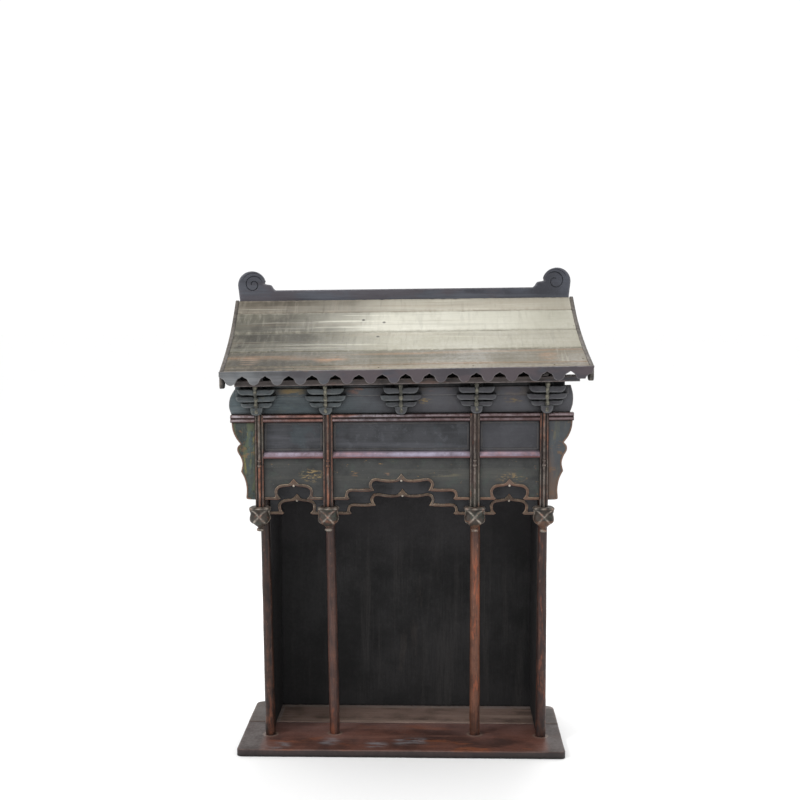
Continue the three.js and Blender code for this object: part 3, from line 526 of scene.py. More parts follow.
def wood(
    name,
    base,
    dark,
    pale,
    worn,
    grain="x",
    streak=0.45,
    blotch=16.0,
    rough=(0.5, 0.72),
    patches=(),
    masks=(),
    bump=0.3,
    crevice_shade=0.55,
    grain_scale=320.0,
    worn_reach=1.0,
    rubs=(),
    crevice=0.014,
    late=(),
):
    """Old painted or bare wood, from its middling, dark and pale colours and that of its worn edges.

    Patches are (colour, noise scale, threshold, amount, stretch), and rubs are the same on the worn edges.
    Masks add patches that a function of the tree places, and late masks lie over the worn edges too.
    """
    t = Tree(name)
    blotches = t.noise(blotch, 5.0, shift=1.3)
    fine = t.noise(150.0, 4.0, shift=4.1, roughness=0.65)
    lines = t.noise(grain_scale, 3.0, stretch=GRAIN[grain], shift=2.2, distortion=0.3)
    bands = t.noise(40.0, 3.0, stretch=GRAIN[grain], shift=7.7)
    colour = t.mix(t.ramp(blotches, 0.42, 0.66), srgb(*base), srgb(*dark))
    colour = t.mix(t.times(t.ramp(bands, 0.5, 0.7), 0.75), colour, srgb(*pale))
    colour = t.mix(t.times(t.ramp(lines, 0.42, 0.68), streak), colour, srgb(*dark))
    colour = t.mix(t.times(t.ramp(fine, 0.52, 0.75), 0.35), colour, srgb(*pale))
    for i, (tint, scale, threshold, amount, stretch) in enumerate(patches):
        spots = t.noise(scale, 5.0, stretch=stretch, shift=11.0 + 3.7 * i, roughness=0.7)
        spots = t.times(t.ramp(spots, threshold, threshold + 0.07), amount)
        colour = t.mix(spots, colour, srgb(*tint))
    for tint, mask in masks:
        colour = t.mix(mask(t), colour, srgb(*tint))
    bare = srgb(*worn)
    for i, (tint, scale, threshold, amount, stretch) in enumerate(rubs):
        spots = t.noise(scale, 4.0, stretch=stretch, shift=61.0 + 5.3 * i, roughness=0.65)
        bare = t.mix(t.times(t.ramp(spots, threshold, threshold + 0.08), amount), bare, srgb(*tint))
    attribute = t.add("ShaderNodeAttribute", attribute_name="wear").outputs["Fac"]
    scrape = t.ramp(t.noise(90.0, 5.0, shift=9.4, roughness=0.7), 0.36, 0.62, 0.25, 1.0)
    rubbed = t.times(attribute, scrape, worn_reach)
    colour = t.mix(rubbed, colour, bare)
    for tint, mask in late:
        colour = t.mix(mask(t), colour, srgb(*tint))
    # Painted shade: the colour is darkened in crevices and close to other parts, as far as the ambient
    # occlusion within the crevice distance finds them.
    open_air = t.add(
        "ShaderNodeAmbientOcclusion", {"Distance": crevice}, samples=4, only_local=False
    ).outputs["AO"]
    shade = t.ramp(open_air, 0.15, 0.85, 1.0 - crevice_shade, 1.0)
    grey = t.add("ShaderNodeCombineColor", {0: shade, 1: shade, 2: shade}).outputs[0]
    colour = t.mix(1.0, colour, grey, "MULTIPLY")
    roughness = t.ramp(t.math("ADD", t.times(fine, 0.5), t.times(blotches, 0.5)), 0.35, 0.65, *rough)
    height = t.math("ADD", t.times(lines, 0.5), t.times(fine, 0.5))
    relief = t.add("ShaderNodeBump", {"Strength": bump, "Distance": 0.0012, "Height": height})
    shader = t.add(
        "ShaderNodeBsdfPrincipled",
        {
            "Base Color": colour,
            "Roughness": roughness,
            "Normal": relief.outputs[0],
            "Specular IOR Level": 0.35,
        },
    )
    out = t.add("ShaderNodeOutputMaterial")
    t.links.new(shader.outputs[0], out.inputs[0])
    return t.material


ROOF_MARKS = [(-380, 118), (-300, 92), (-58, 158), (-96, 232), (-46, 222)]
ANY = (1, 1, 1)
LONG = (0.25, 1, 1)
TALL = (1, 1, 0.2)


def set_later(mask):
    """Lets a mask take its settings first, and the tree when the material is made."""
    return lambda *settings: lambda t: mask(t, *settings)


def painted_shade_on_standing_faces(t):
    """Faces that stand, such as the front edge of the base, which painted shade darkens."""
    return t.ramp(t.upward(), 0.15, 0.6, 0.92, 0.0)


def painted_underside_shade(t):
    """The lower sides of beads and mouldings: painted shade under them, dark red as their old paint looks in
    shade.
    """
    return t.ramp(t.upward(), -0.55, 0.05, 0.85, 0.0)


def painted_contact_shadow(t):
    """The lower half of the base's edge, darkened further as a painted contact shadow."""
    low = t.fall(t.axis("Z"), 0.002, 0.009)
    return t.times(painted_shade_on_standing_faces(t), low, 0.9)


def foot_of_walls(t):
    """A pale line on the floor along the left wall and the back."""
    x = t.axis("X")
    y = t.axis("Y")
    left = (LEFT_WALL_X - ORIGIN_X) / 1000
    back = (BACK_PANEL_Y - ORIGIN_Y) / 1000
    beside = t.times(t.ramp(x, left - 0.001, left), t.fall(x, left + 0.006, left + 0.011))
    behind = t.times(t.ramp(y, back - 0.024, back - 0.012), t.ramp(x, left, left + 0.002))
    torn = t.ramp(t.noise(60.0, 3.0, shift=33.0), 0.35, 0.55, 0.4, 1.0)
    return t.times(t.most([beside, behind]), torn, 0.7)


@set_later
def streaks(t, scale, threshold, amount, shift):
    """Long thin marks along the grain of the roof planks."""
    marks = t.noise(scale, 4.0, stretch=(0.035, 1, 1), shift=shift, roughness=0.6, distortion=0.15)
    return t.times(t.ramp(marks, threshold, threshold + 0.1), amount)


@set_later
def smear(t, x, y, reach_x, reach_y, amount, shift):
    """A soft torn patch on the roof round one place, in build millimetres."""
    away = t.away((x, y, 0), (reach_x, reach_y, 0))
    torn = t.ramp(t.noise(60.0, 4.0, stretch=(0.12, 1, 1), shift=shift, roughness=0.7), 0.4, 0.58)
    return t.times(t.fall(away, 0.35, 1.0), torn, amount)


def feet_rings(t):
    """Pale rings that the column feet have left on the floor."""
    rings = []
    for x, y in zip(COLUMN_FOOT_X, COLUMN_FOOT_Y):
        away = t.away((x, y, FLOOR_Z))
        rings.append(t.times(t.ramp(away, 12.5, 14.5), t.fall(away, 16.5, 21)))
    return t.times(t.most(rings), 0.6)


def beyond_columns(t):
    """The darker ends of the base."""
    return t.times(t.ramp(t.apart(t.axis("X")), 0.325, 0.34), 0.9)


@set_later
def near(t, points, low, high, amount):
    """Spots round some places on the floor, in build millimetres."""
    here = t.most([t.fall(t.away(point), low, high) for point in points])
    torn = t.ramp(t.noise(55.0, 5.0, stretch=LONG, shift=21.0, roughness=0.75), 0.46, 0.58)
    return t.times(here, torn, amount)


@set_later
def in_band(t, low_z, high_z, scale, threshold, amount, shift, slope=0.0):
    """Patches that keep to a band of heights, which may rise towards the right."""
    z = t.axis("Z")
    if slope:
        z = t.sum(t.axis("X"), -slope, z)
    band = t.times(t.ramp(z, low_z, low_z + 0.002), t.fall(z, high_z - 0.002, high_z))
    spots = t.noise(scale, 3.0, stretch=(0.5, 0.2, 1), shift=shift, roughness=0.6)
    return t.times(band, t.ramp(spots, threshold, threshold + 0.06), amount)


@set_later
def across(t, low_x, high_x, amount, axis="X"):
    """A slow change from one side to the other, or from front to back."""
    wavy = t.sum(t.noise(7.0, 3.0, shift=5.5), 0.25, t.axis(axis))
    return t.times(t.ramp(wavy, low_x + 0.125, high_x + 0.125), amount)


@set_later
def brushed(t, amount, threshold, shift):
    """Short marks up the slope of the roof, most of them on the left."""
    marks = t.noise(105.0, 3.0, stretch=(1, 0.1, 0.1), shift=shift, roughness=0.6)
    where = t.noise(13.0, 3.0, stretch=(1, 0.6, 0.6), shift=shift + 3, roughness=0.6)
    left = t.ramp(t.axis("X"), -0.35, 0.1, 1.0, 0.35)
    here = t.times(t.ramp(where, 0.42, 0.6), left)
    return t.times(t.ramp(marks, threshold, threshold + 0.12), here, amount)


@set_later
def seam(t, y, reach, amount, shift):
    """A broken dark line where two planks meet."""
    line = t.ramp(t.apart(t.axis("Y"), (y - ORIGIN_Y) / 1000), reach * 0.4, reach, 1.0, 0.0)
    torn = t.ramp(t.noise(13.0, 4.0, stretch=(1, 0.05, 0.05), shift=shift), 0.42, 0.6, 0.08, 1.0)
    return t.times(line, torn, amount)


@set_later
def marks_on_roof(t, places, size, amount):
    """Small dark holes and knots."""
    spots = [t.away((x, y, 0), (1, 1, 0)) for x, y in places]
    return t.times(t.most([t.fall(away, size * 0.35, size) for away in spots]), amount)


@set_later
def scratches(t, x, z, reach_x, reach_z, amount, shift, scale=260.0):
    """Thin lines of lost paint on the front, round one place in build millimetres."""
    away = t.away((x, 0, z), (reach_x, 0, reach_z))
    lines = t.ramp(t.noise(scale, 4.0, stretch=(0.3, 1, 1), shift=shift, roughness=0.7), 0.5, 0.6)
    return t.times(t.fall(away, 0.3, 1.0), lines, amount)


def foot_of_right_wing(t):
    """Brown bare wood low on the right wing, torn at its top."""
    torn = t.noise(22.0, 4.0, stretch=TALL, shift=19.0, roughness=0.65)
    height = t.sum(torn, 0.3, t.axis("Z"))
    return t.times(t.fall(height, 0.79, 0.86), across(0.05, 0.3, 0.7)(t))


def strip_at_right_end(t):
    """A paler strip across the planks near the right end."""
    x = t.axis("X")
    band = t.times(t.ramp(x, 0.343, 0.349), t.fall(x, 0.369, 0.376))
    y = t.axis("Y")
    length = t.times(t.ramp(y, -0.165, -0.15), t.fall(y, -0.085, -0.065))
    lines = t.ramp(t.noise(190.0, 2.0, stretch=(1, 0.06, 0.06), shift=71.0), 0.42, 0.56, 0.1, 1.0)
    return t.times(band, length, t.times(lines, 0.3))


SCUFFS = [(4, 62, 17), (34, 66, 17), (-170, 60, 17), (-285, 30, 17), (-60, 40, 17)]

front_floor = wood(
    "base_front_wood", (100, 66, 56), (62, 42, 37), (128, 92, 80), (96, 80, 76),
    streak=0.5, blotch=12, rough=(0.36, 0.58), worn_reach=0.7,
    patches=[((136, 80, 52), 22, 0.56, 0.55, LONG), ((54, 44, 44), 60, 0.58, 0.5, LONG)],
    # painted light: the floor paler further back, against the shade under the roof
    masks=[((132, 102, 96), across(-0.09, 0.02, 0.55, "Y")), ((45, 33, 29), beyond_columns),
           ((128, 128, 132), near(SCUFFS, 8, 36, 0.7)), ((128, 112, 100), feet_rings),
           # painted shade on the standing faces, with a near black painted contact shadow at their foot
           ((32, 27, 28), painted_shade_on_standing_faces), ((11, 9, 9), painted_contact_shadow)],
    rubs=[((56, 42, 42), 16, 0.48, 0.8, LONG)],
)
# The rear board is painted paler than the front: painted light against the shade under the roof.
rear_floor = wood(
    "base_rear_wood", (138, 116, 106), (94, 78, 70), (160, 138, 126), (112, 94, 86),
    streak=0.55, blotch=10, rough=(0.45, 0.65), worn_reach=0.6,
    masks=[((46, 38, 33), beyond_columns), ((138, 128, 124), foot_of_walls),
           # painted shade on the standing faces, with a near black painted contact shadow at their foot
           ((32, 27, 28), painted_shade_on_standing_faces), ((11, 9, 9), painted_contact_shadow)],
)
interior = wood(
    "interior_wood", (37, 36, 37), (22, 22, 23), (48, 46, 46), (70, 64, 60),
    grain="z", streak=0.5, blotch=7, rough=(0.65, 0.85), crevice_shade=0.4, bump=0.4,
    patches=[((58, 52, 48), 9, 0.62, 0.35, TALL)],
    # the second mask is painted light: paler higher up inside, to lift the shade that falls there
    masks=[((22, 22, 23), across(-0.1, -0.28, 0.6)), ((52, 50, 52), across(0.36, 0.52, 0.7, "Z"))],
)
COLUMN_TONES = [(28, 17, 14), (60, 43, 39), (102, 65, 49), (42, 28, 27)]
COLUMN_REDS = [0.25, 0.4, 0.7, 0.4]
columns = [
    wood(
        "column_wood_%d" % (i + 1), tone, tuple(int(v * 0.55) for v in tone),
        tuple(int(v * 1.25) for v in tone), (126, 80, 58),
        grain="z", streak=0.65, blotch=14, rough=(0.4, 0.6), worn_reach=0.7,
        patches=[((142, 76, 48), 30, 0.58, red, TALL), ((42, 34, 34), 40, 0.56, 0.5, TALL),
                 ((138, 98, 80), 150, 0.62, 0.5, (1, 1, 0.4))],
    )
    for i, (tone, red) in enumerate(zip(COLUMN_TONES, COLUMN_REDS))
]
moulding = wood(
    "moulding_wood", (62, 46, 41), (36, 28, 27), (76, 66, 58), (126, 117, 109),
    grain="z", streak=0.4, rough=(0.4, 0.6), crevice_shade=0.95, worn_reach=0.85,
    patches=[((136, 72, 44), 40, 0.58, 0.65, TALL), ((68, 68, 58), 30, 0.52, 0.6, TALL)],
    rubs=[((158, 92, 60), 26, 0.49, 0.8, TALL), ((62, 62, 60), 60, 0.54, 0.8, TALL)],
)
rail = wood(
    "rail_wood", (62, 46, 43), (38, 28, 27), (88, 72, 70), (172, 164, 170),
    streak=0.4, rough=(0.4, 0.6), crevice_shade=0.9,
    patches=[((104, 62, 48), 50, 0.58, 0.5, LONG)],
    masks=[((104, 60, 44), across(-0.12, -0.22, 0.4))],
    rubs=[((172, 106, 80), 14, 0.5, 0.7, LONG), ((92, 90, 96), 50, 0.54, 0.7, LONG)],
    # the last late mask is painted shade on the lower sides of the beads
    late=[((92, 58, 54), across(-0.05, 0.12, 0.45)), ((46, 24, 22), painted_underside_shade)],
)
ledge = wood(
    "ledge_wood", (158, 151, 170), (112, 101, 113), (184, 178, 200), (200, 192, 212),
    streak=0.4, rough=(0.42, 0.62), crevice_shade=0.75,
    patches=[((130, 98, 94), 50, 0.6, 0.5, LONG)],
    rubs=[((184, 112, 94), 9, 0.46, 0.7, LONG)],
    masks=[((112, 88, 90), across(-0.14, -0.22, 0.75))],
    late=[((92, 50, 46), in_band(0.6, 0.6915, 20, 0.2, 0.9, 12.0, 0.0058)),
          # the last late mask is painted shade on the lower sides of the ledge
          ((84, 77, 84), in_band(0.698, 0.72, 20, 0.2, 0.85, 16.0, 0.0058)), ((46, 24, 22), painted_underside_shade)],
)
panel = wood(
    "panel_wood", (57, 58, 62), (43, 44, 47), (70, 71, 76), (78, 74, 71),
    streak=0.4, rough=(0.55, 0.78), crevice_shade=0.6, crevice=0.022,
    patches=[((84, 86, 92), 75, 0.56, 0.25, ANY), ((56, 66, 70), 8, 0.56, 0.5, ANY),
             ((96, 82, 74), 120, 0.7, 0.5, ANY)],
    masks=[((66, 66, 71), across(0.1, 0.22, 0.5))],
)
field = wood(
    "valance_wood", (56, 57, 56), (42, 43, 43), (69, 69, 65), (98, 86, 72),
    streak=0.35, rough=(0.55, 0.78), crevice_shade=0.6, crevice=0.022,
    patches=[((150, 116, 64), 120, 0.645, 0.8, (0.4, 1, 1)), ((58, 65, 60), 30, 0.56, 0.5, ANY),
             ((134, 82, 62), 120, 0.69, 0.7, ANY), ((90, 90, 92), 150, 0.64, 0.5, ANY)],
    masks=[((148, 126, 84), scratches(-206, 645, 34, 20, 0.85, 3.0)),
           ((132, 110, 74), scratches(250, 640, 40, 18, 0.6, 8.0)),
           ((128, 94, 58), scratches(-98, 648, 24, 7, 0.8, 13.0, 60.0)),
           ((116, 90, 72), scratches(-30, 648, 20, 6, 0.7, 26.0, 60.0)),
           ((104, 98, 78), scratches(90, 647, 62, 6, 0.6, 18.0, 60.0))],
)
dark_field = wood(
    "inner_valance_wood", (54, 54, 57), (38, 38, 40), (66, 66, 68), (84, 74, 64),
    streak=0.3, rough=(0.6, 0.8), crevice_shade=0.5,
    patches=[((92, 76, 56), 95, 0.68, 0.5, ANY)],
)
border = wood(
    "border_wood", (78, 62, 52), (50, 40, 35), (98, 80, 66), (164, 146, 124),
    blotch=30, rough=(0.5, 0.7), crevice_shade=0.9,
    patches=[((66, 64, 62), 50, 0.54, 0.6, ANY)],
    rubs=[((146, 96, 72), 40, 0.54, 0.6, ANY), ((98, 92, 90), 60, 0.52, 0.7, ANY)],
    # the last late mask is painted shade on the lower side of the border
    late=[((122, 84, 64), across(-0.1, 0.2, 0.25)), ((70, 34, 24), painted_underside_shade)],
)
dark_border = wood(
    "inner_border_wood", (98, 80, 66), (66, 54, 46), (118, 98, 82), (196, 172, 146),
    blotch=30, rough=(0.5, 0.7), crevice_shade=0.7,
    patches=[((84, 80, 78), 50, 0.54, 0.6, ANY)],
    rubs=[((160, 104, 78), 40, 0.52, 0.7, ANY), ((108, 98, 94), 60, 0.52, 0.7, ANY)],
    # painted shade on the lower side of the border
    late=[((66, 34, 26), painted_underside_shade)],
)
bead_paint = wood(
    "peak_bead_wood", (150, 140, 128), (104, 94, 84), (176, 166, 154), (190, 180, 168),
    rough=(0.4, 0.6), crevice_shade=0.6,
)
lotus = wood(
    "lotus_wood", (54, 47, 41), (28, 25, 22), (72, 64, 57), (166, 156, 145),
    grain="z", streak=0.35, blotch=40, rough=(0.48, 0.68), crevice_shade=0.95, crevice=0.01,
    patches=[((108, 66, 50), 70, 0.56, 0.45, ANY), ((56, 64, 56), 50, 0.54, 0.55, ANY)],
    rubs=[((146, 98, 78), 70, 0.52, 0.7, ANY), ((100, 94, 88), 110, 0.52, 0.7, ANY)],
    late=[((120, 80, 56), in_band(0.5, 0.545, 60, 0.5, 0.35, 35.0))],
)
wing_paint = wood(
    "wing_wood", (52, 58, 56), (38, 42, 41), (68, 74, 68), (92, 80, 68),
    grain="z", streak=0.5, rough=(0.55, 0.75), crevice_shade=0.6, blotch=24,
    patches=[((60, 76, 80), 20, 0.5, 0.6, ANY), ((88, 94, 62), 60, 0.52, 0.45, TALL),
             ((126, 112, 60), 100, 0.58, 0.55, TALL), ((30, 32, 32), 110, 0.6, 0.5, ANY)],
    masks=[((72, 74, 79), across(0.05, 0.3, 0.65)), ((112, 84, 54), in_band(0.6, 0.78, 70, 0.58, 0.5, 8.0)),
           ((94, 74, 62), foot_of_right_wing)],
)
wing_rim = wood(
    "wing_rim_wood", (78, 62, 54), (50, 41, 37), (96, 78, 67), (130, 104, 88),
    grain="z", streak=0.4, rough=(0.5, 0.7), crevice_shade=0.6,
)
frieze = wood(
    "frieze_wood", (78, 89, 93), (58, 65, 69), (95, 103, 106), (104, 100, 96),
    streak=0.5, rough=(0.52, 0.75), crevice_shade=0.95, crevice=0.04,
    patches=[((86, 92, 88), 50, 0.58, 0.5, LONG), ((60, 58, 64), 40, 0.58, 0.5, LONG)],
    masks=[
        ((82, 78, 83), across(-0.3, 0.05, 0.7)),
        ((100, 88, 78), in_band(0.829, 0.8505, 17, 0.52, 0.35, 47.0)),
        ((136, 114, 72), scratches(-250, 839, 42, 13, 0.7, 33.0, 40.0)),
        ((132, 94, 78), scratches(-88, 841, 46, 13, 0.75, 38.0, 40.0)),
        ((124, 92, 86), scratches(90, 842, 50, 13, 0.7, 43.0, 40.0)),
        ((148, 124, 72), scratches(52, 818, 24, 9, 0.8, 23.0)),
        ((128, 108, 72), scratches(255, 820, 30, 9, 0.6, 27.0)),
        # painted shade: the frieze above the batten, under the eave, near black
        ((30, 29, 30), in_band(0.8505, 1.0, 5, 0.1, 0.85, 40.0)),
    ],
)
bracket_paint = wood(
    "bracket_wood", (70, 76, 79), (44, 48, 50), (92, 98, 100), (112, 116, 116),
    streak=0.35, blotch=34, crevice_shade=0.95, crevice=0.022, worn_reach=0.75,
    patches=[((96, 98, 84), 70, 0.58, 0.5, ANY), ((76, 68, 74), 60, 0.58, 0.5, ANY)],
    masks=[((50, 47, 52), across(-0.15, 0.1, 0.6))],
    late=[((70, 66, 72), across(-0.15, 0.1, 0.3))],
)
nose_paint = wood(
    "bracket_nose_wood", (58, 59, 54), (36, 37, 35), (76, 77, 69), (138, 134, 118),
    grain="z", streak=0.35, blotch=40, crevice_shade=0.9,
    rubs=[((66, 64, 60), 70, 0.47, 0.85, ANY)],
)
plank_edge = wood(
    "eave_plank_wood", (78, 70, 68), (50, 46, 45), (98, 90, 88), (122, 114, 112),
    rough=(0.55, 0.8), crevice_shade=0.95, crevice=0.03,
    patches=[((110, 86, 78), 20, 0.52, 0.6, LONG), ((66, 72, 80), 24, 0.54, 0.6, LONG)],
)
# Each plank from the eave up: its middling, dark, pale and worn colours at the left end, the colours of
# its middle and its right side, paler with a painted sheen of the light from above, and its patches
ROOF_TONES = [
    ((64, 56, 43), (48, 42, 33), (80, 71, 56), (112, 101, 84), (122, 114, 95), (86, 78, 65),
     [((72, 72, 58), 20, 0.54, 0.5, LONG)]),
    ((61, 56, 44), (48, 44, 35), (78, 72, 58), (110, 102, 86), (100, 95, 80), (102, 95, 80),
     [((78, 78, 62), 16, 0.54, 0.5, LONG)]),
    ((64, 61, 50), (50, 47, 39), (84, 81, 70), (126, 122, 108), (160, 157, 141), (141, 137, 122),
     [((100, 94, 82), 18, 0.58, 0.4, (1, 0.3, 0.3))]),
    ((88, 85, 74), (69, 66, 58), (108, 105, 93), (144, 140, 126), (195, 193, 179), (154, 151, 136),
     [((102, 96, 86), 18, 0.58, 0.4, (1, 0.3, 0.3))]),
    ((96, 90, 79), (77, 71, 62), (116, 110, 99), (145, 137, 123), (176, 172, 158), (161, 156, 142),
     [((116, 98, 82), 12, 0.56, 0.5, LONG)]),
]
roof_wood = [
    wood(
        "roof_wood_%d" % (i + 1), base, dark, pale, worn,
        streak=0.4, blotch=9, rough=(0.5, 0.74), crevice_shade=0.6, bump=0.4, grain_scale=260,
        patches=patches,
        masks=[
            # painted sheen: the middle and the right side of each plank paler, as if lit from above
            (centre, across(-0.29, 0.0, 0.88)),
            (right_side, across(0.08, 0.36, 0.8)),
            (tuple(int(v * 0.74) for v in centre), streaks(60.0, 0.53, 0.5 if i < 2 else 0.3, 21.0 + 4 * i)),
            (tuple(min(int(v * 1.18), 235) for v in centre), streaks(75.0, 0.58, 0.4, 141.0 + 4 * i)),
            ((132, 100, 70), streaks(34.0, 0.55, 0.5 if i < 2 else 0.12, 57.0 + 4 * i)),
            (tuple(min(v + 30, 230) for v in pale), brushed(0.34, 0.5, 81.0 + i)),
            (tuple(int(v * 0.8) for v in dark), brushed(0.34, 0.52, 93.0 + i)),
            ((160, 156, 142), strip_at_right_end),
            ((146, 108, 74), smear(-160, 38, 50, 36, 0.6, 5.0)),
            ((136, 102, 72), smear(335, 36, 34, 30, 0.5, 9.0)),
            ((156, 132, 112), smear(-345, 30, 30, 34, 0.45, 14.0)),
            ((74, 66, 56), seam(ROOF_SEAMS_Y[i + 1], 0.0042, 0.6 if 0 < i < 4 else 0.0, 15.0 + i)),
            ((74, 66, 56), seam(ROOF_SEAMS_Y[i], 0.0024, 0.4 if i > 1 else 0.0, 15.0 + i)),
            ((40, 34, 30), marks_on_roof(ROOF_MARKS, 5.5, 0.85)),
        ],
    )
    for i, (base, dark, pale, worn, centre, right_side, patches) in enumerate(ROOF_TONES)
]
trim = wood(
    "trim_wood", (97, 100, 102), (71, 72, 74), (114, 116, 118), (132, 128, 128),
    streak=0.3, blotch=12, rough=(0.48, 0.7), crevice_shade=0.75, worn_reach=0.6,
    patches=[((74, 92, 98), 9, 0.54, 0.5, LONG)],
    masks=[((58, 53, 58), across(-0.36, -0.12, 0.92)), ((82, 70, 73), in_band(0.8, 1.0, 14, 0.5, 0.45, 18.0)),
           ((62, 68, 77), in_band(0.8, 1.0, 16, 0.54, 0.4, 75.0)),
           ((96, 74, 62), in_band(0.8, 1.0, 22, 0.6, 0.5, 28.0))],
)
ridge_wood = wood(
    "ridge_wood", (68, 71, 80), (52, 53, 60), (82, 85, 93), (104, 103, 108),
    streak=0.4, blotch=9, crevice_shade=0.6,
    patches=[((72, 64, 68), 8, 0.54, 0.5, LONG), ((112, 88, 62), 14, 0.64, 0.7, LONG)],
)
barge_wood = wood(
    "barge_wood", (66, 61, 57), (46, 43, 41), (84, 79, 73), (108, 101, 94),
    grain="y", rough=(0.6, 0.8), crevice_shade=0.6,
    # painted shade: the hooks below the eave near black
    masks=[((32, 31, 32), in_band(0.8, 0.888, 5, 0.1, 0.9, 3.0))],
)


# base
def corner_arc(cx, cy, r, start):
    """A quarter of a circle from a start in degrees."""
    return [
        (cx + r * math.cos(math.radians(start + i * 15)), cy + r * math.sin(math.radians(start + i * 15)))
        for i in range(7)
    ]


def base_board(name, plan, top, paint, seed):
    """A thick board of the base with a worn round edge."""
    s = Shape()
    steps = [
        (0.8, 0, 0.1),
        (0, 0.8, 0.1),
        (0, top - 2.4, 0.25),
        (0.5, top - 1.2, 0.8),
        (1.3, top - 0.4, 1.0),
        (2.6, top, 0.75),
        (6, top, 0.0),
    ]
    s.board(dense(plan, 20), steps, "xy")
    finished(name, s, [paint], wave=0.45, seed=seed)


r = BASE_FRONT_CORNER_RADIUS
base_board(
    "base_front_board",
    [
        *corner_arc(BASE_LEFT_X + r, r, r, 180),
        *corner_arc(BASE_RIGHT_X - r, r, r, 270),
        (BASE_RIGHT_X, BASE_SEAM_Y - GAP),
        (BASE_LEFT_X, BASE_SEAM_Y - GAP),
    ],
    BASE_THICKNESS, front_floor, 1,
)
r = BASE_BACK_CORNER_RADIUS
base_board(
    "base_rear_board",
    [
        (BASE_LEFT_X, BASE_SEAM_Y),
        (BASE_RIGHT_X, BASE_SEAM_Y),
        *corner_arc(BASE_RIGHT_X - r, BASE_BACK_RIGHT_Y - r, r, 0),
        *corner_arc(BASE_LEFT_X + r, BASE_BACK_LEFT_Y - r, r, 90),
    ],
    FLOOR_Z, rear_floor, 2,
)

# columns
SIDES = ["outer_left", "inner_left", "inner_right", "outer_right"]
COLUMN_SEGMENTS = 28
COLUMN_RINGS = 90


def column_top(i):
    return (ARM_Z if i in (0, 3) else CEILING_Z) - GAP


def column_x(i, z):
    """The middle of a leaning column at a height."""
    t = (z - BASE_THICKNESS) / (column_top(i) - BASE_THICKNESS)
    return COLUMN_FOOT_X[i] + t * (COLUMN_TOP_X[i] - COLUMN_FOOT_X[i])


for i, side in enumerate(SIDES):
    s = Shape()
    low = BASE_THICKNESS + GAP
    rings = []
    for k in range(COLUMN_RINGS + 1):
        t = k / COLUMN_RINGS
        z = low + t * (column_top(i) - low)
        cx = COLUMN_FOOT_X[i] + t * (COLUMN_TOP_X[i] - COLUMN_FOOT_X[i])
        cy = COLUMN_FOOT_Y[i] + t * (COLUMN_TOP_Y - COLUMN_FOOT_Y[i])
        radius = COLUMN_FOOT_RADIUS + (COLUMN_TOP_RADIUS - COLUMN_FOOT_RADIUS) * t
        if k == 0:
            radius -= 1.0
        ring = []
        for j in range(COLUMN_SEGMENTS):
            a = 2 * math.pi * j / COLUMN_SEGMENTS
            facet = noise.noise(Vector((3 * math.cos(a), 3 * math.sin(a), z / 130 + 9 * i)))
            knock = noise.noise(Vector((1.5 * math.cos(a), 1.5 * math.sin(a), z / 22 + 5 * i)))
            rr = radius + 0.35 * facet + 0.2 * knock - 0.25
            wear = max(0.0, min(1.0, 0.5 * (1 - t) * (0.5 + knock) + 0.35 * facet))
            ring.append((cx + rr * math.cos(a), cy + rr * math.sin(a), z, wear))
        rings.append(ring)
    s.loft(rings)
    finished("column_" + side, s, [columns[i]], wave=0.5, seed=3 + i)


# roof line, walls, back, ceiling
def roof_z(y):
    """The curved top of the roof, from its height and slope at the eave and the ridge."""
    run = RIDGE_Y - EAVE_Y
    t = (y - EAVE_Y) / run
    rise = ROOF_RISE * (3 * t**2 - 2 * t**3)
    return EAVE_Z + rise + run * (EAVE_SLOPE * (t**3 - 2 * t**2 + t) + RIDGE_SLOPE * (t**3 - t**2))


def chord_z(y):
    """The roof line of the solids, which has corners halfway along each plank."""
    corners = []
    for a, b in zip(ROOF_SEAMS_Y, ROOF_SEAMS_Y[1:]):
        corners += [(a, roof_z(a)), ((a + b) / 2, roof_z((a + b) / 2))]
    return table(corners + [(RIDGE_Y, roof_z(RIDGE_Y))], y)


def slope(from_y, to_y, drop, steps):
    """A line some way below the roof line."""
    line = [from_y + (to_y - from_y) * k / steps for k in range(steps + 1)]
    return [(y, chord_z(y) - drop) for y in line]


ARM_FRONT_Y = EAVE_Y + GAP + 3
for name, x0, seed in [("left", LEFT_WALL_X - WALL_THICKNESS, 8), ("right", RIGHT_WALL_X, 9)]:
    back = BACK_PANEL_Y - GAP
    outline = [
        (WALL_FRONT_Y, FLOOR_Z + GAP),
        (back, FLOOR_Z + GAP),
        (back, RIDGE_FOOT_Z - GAP),
        (RIDGE_Y, RIDGE_FOOT_Z - GAP),
        *reversed(slope(ARM_FRONT_Y, RIDGE_Y, PLANK_DROP + GAP, 24)),
        (ARM_FRONT_Y, roof_z(ARM_FRONT_Y) - PLANK_DROP - 9),
        (EAVE_PLANK[2], EAVE_PLANK[5] + GAP),
        (RAIL_BACK_Y + GAP, EAVE_PLANK[5] + GAP),
        (RAIL_BACK_Y + GAP, ARM_Z),
        (WALL_FRONT_Y, ARM_Z),
    ]
    s = Shape()
    s.board(dense(outline, 40), board_steps(x0, x0 + WALL_THICKNESS, 0.8, 0.8), "yz")
    finished("side_wall_" + name, s, [interior], wave=0.25, seed=seed)

s = Shape()
outline = rectangle(
    LEFT_WALL_X - WALL_THICKNESS, RIGHT_WALL_X + WALL_THICKNESS, FLOOR_Z + GAP, EAVE_Z + ROOF_RISE
)
s.board(dense(outline, 40), board_steps(BACK_PANEL_Y, BACK_PANEL_Y + BACK_PANEL_THICKNESS, 0.9, 0.6))
finished("back_panel", s, [interior], wave=0.2, seed=10)

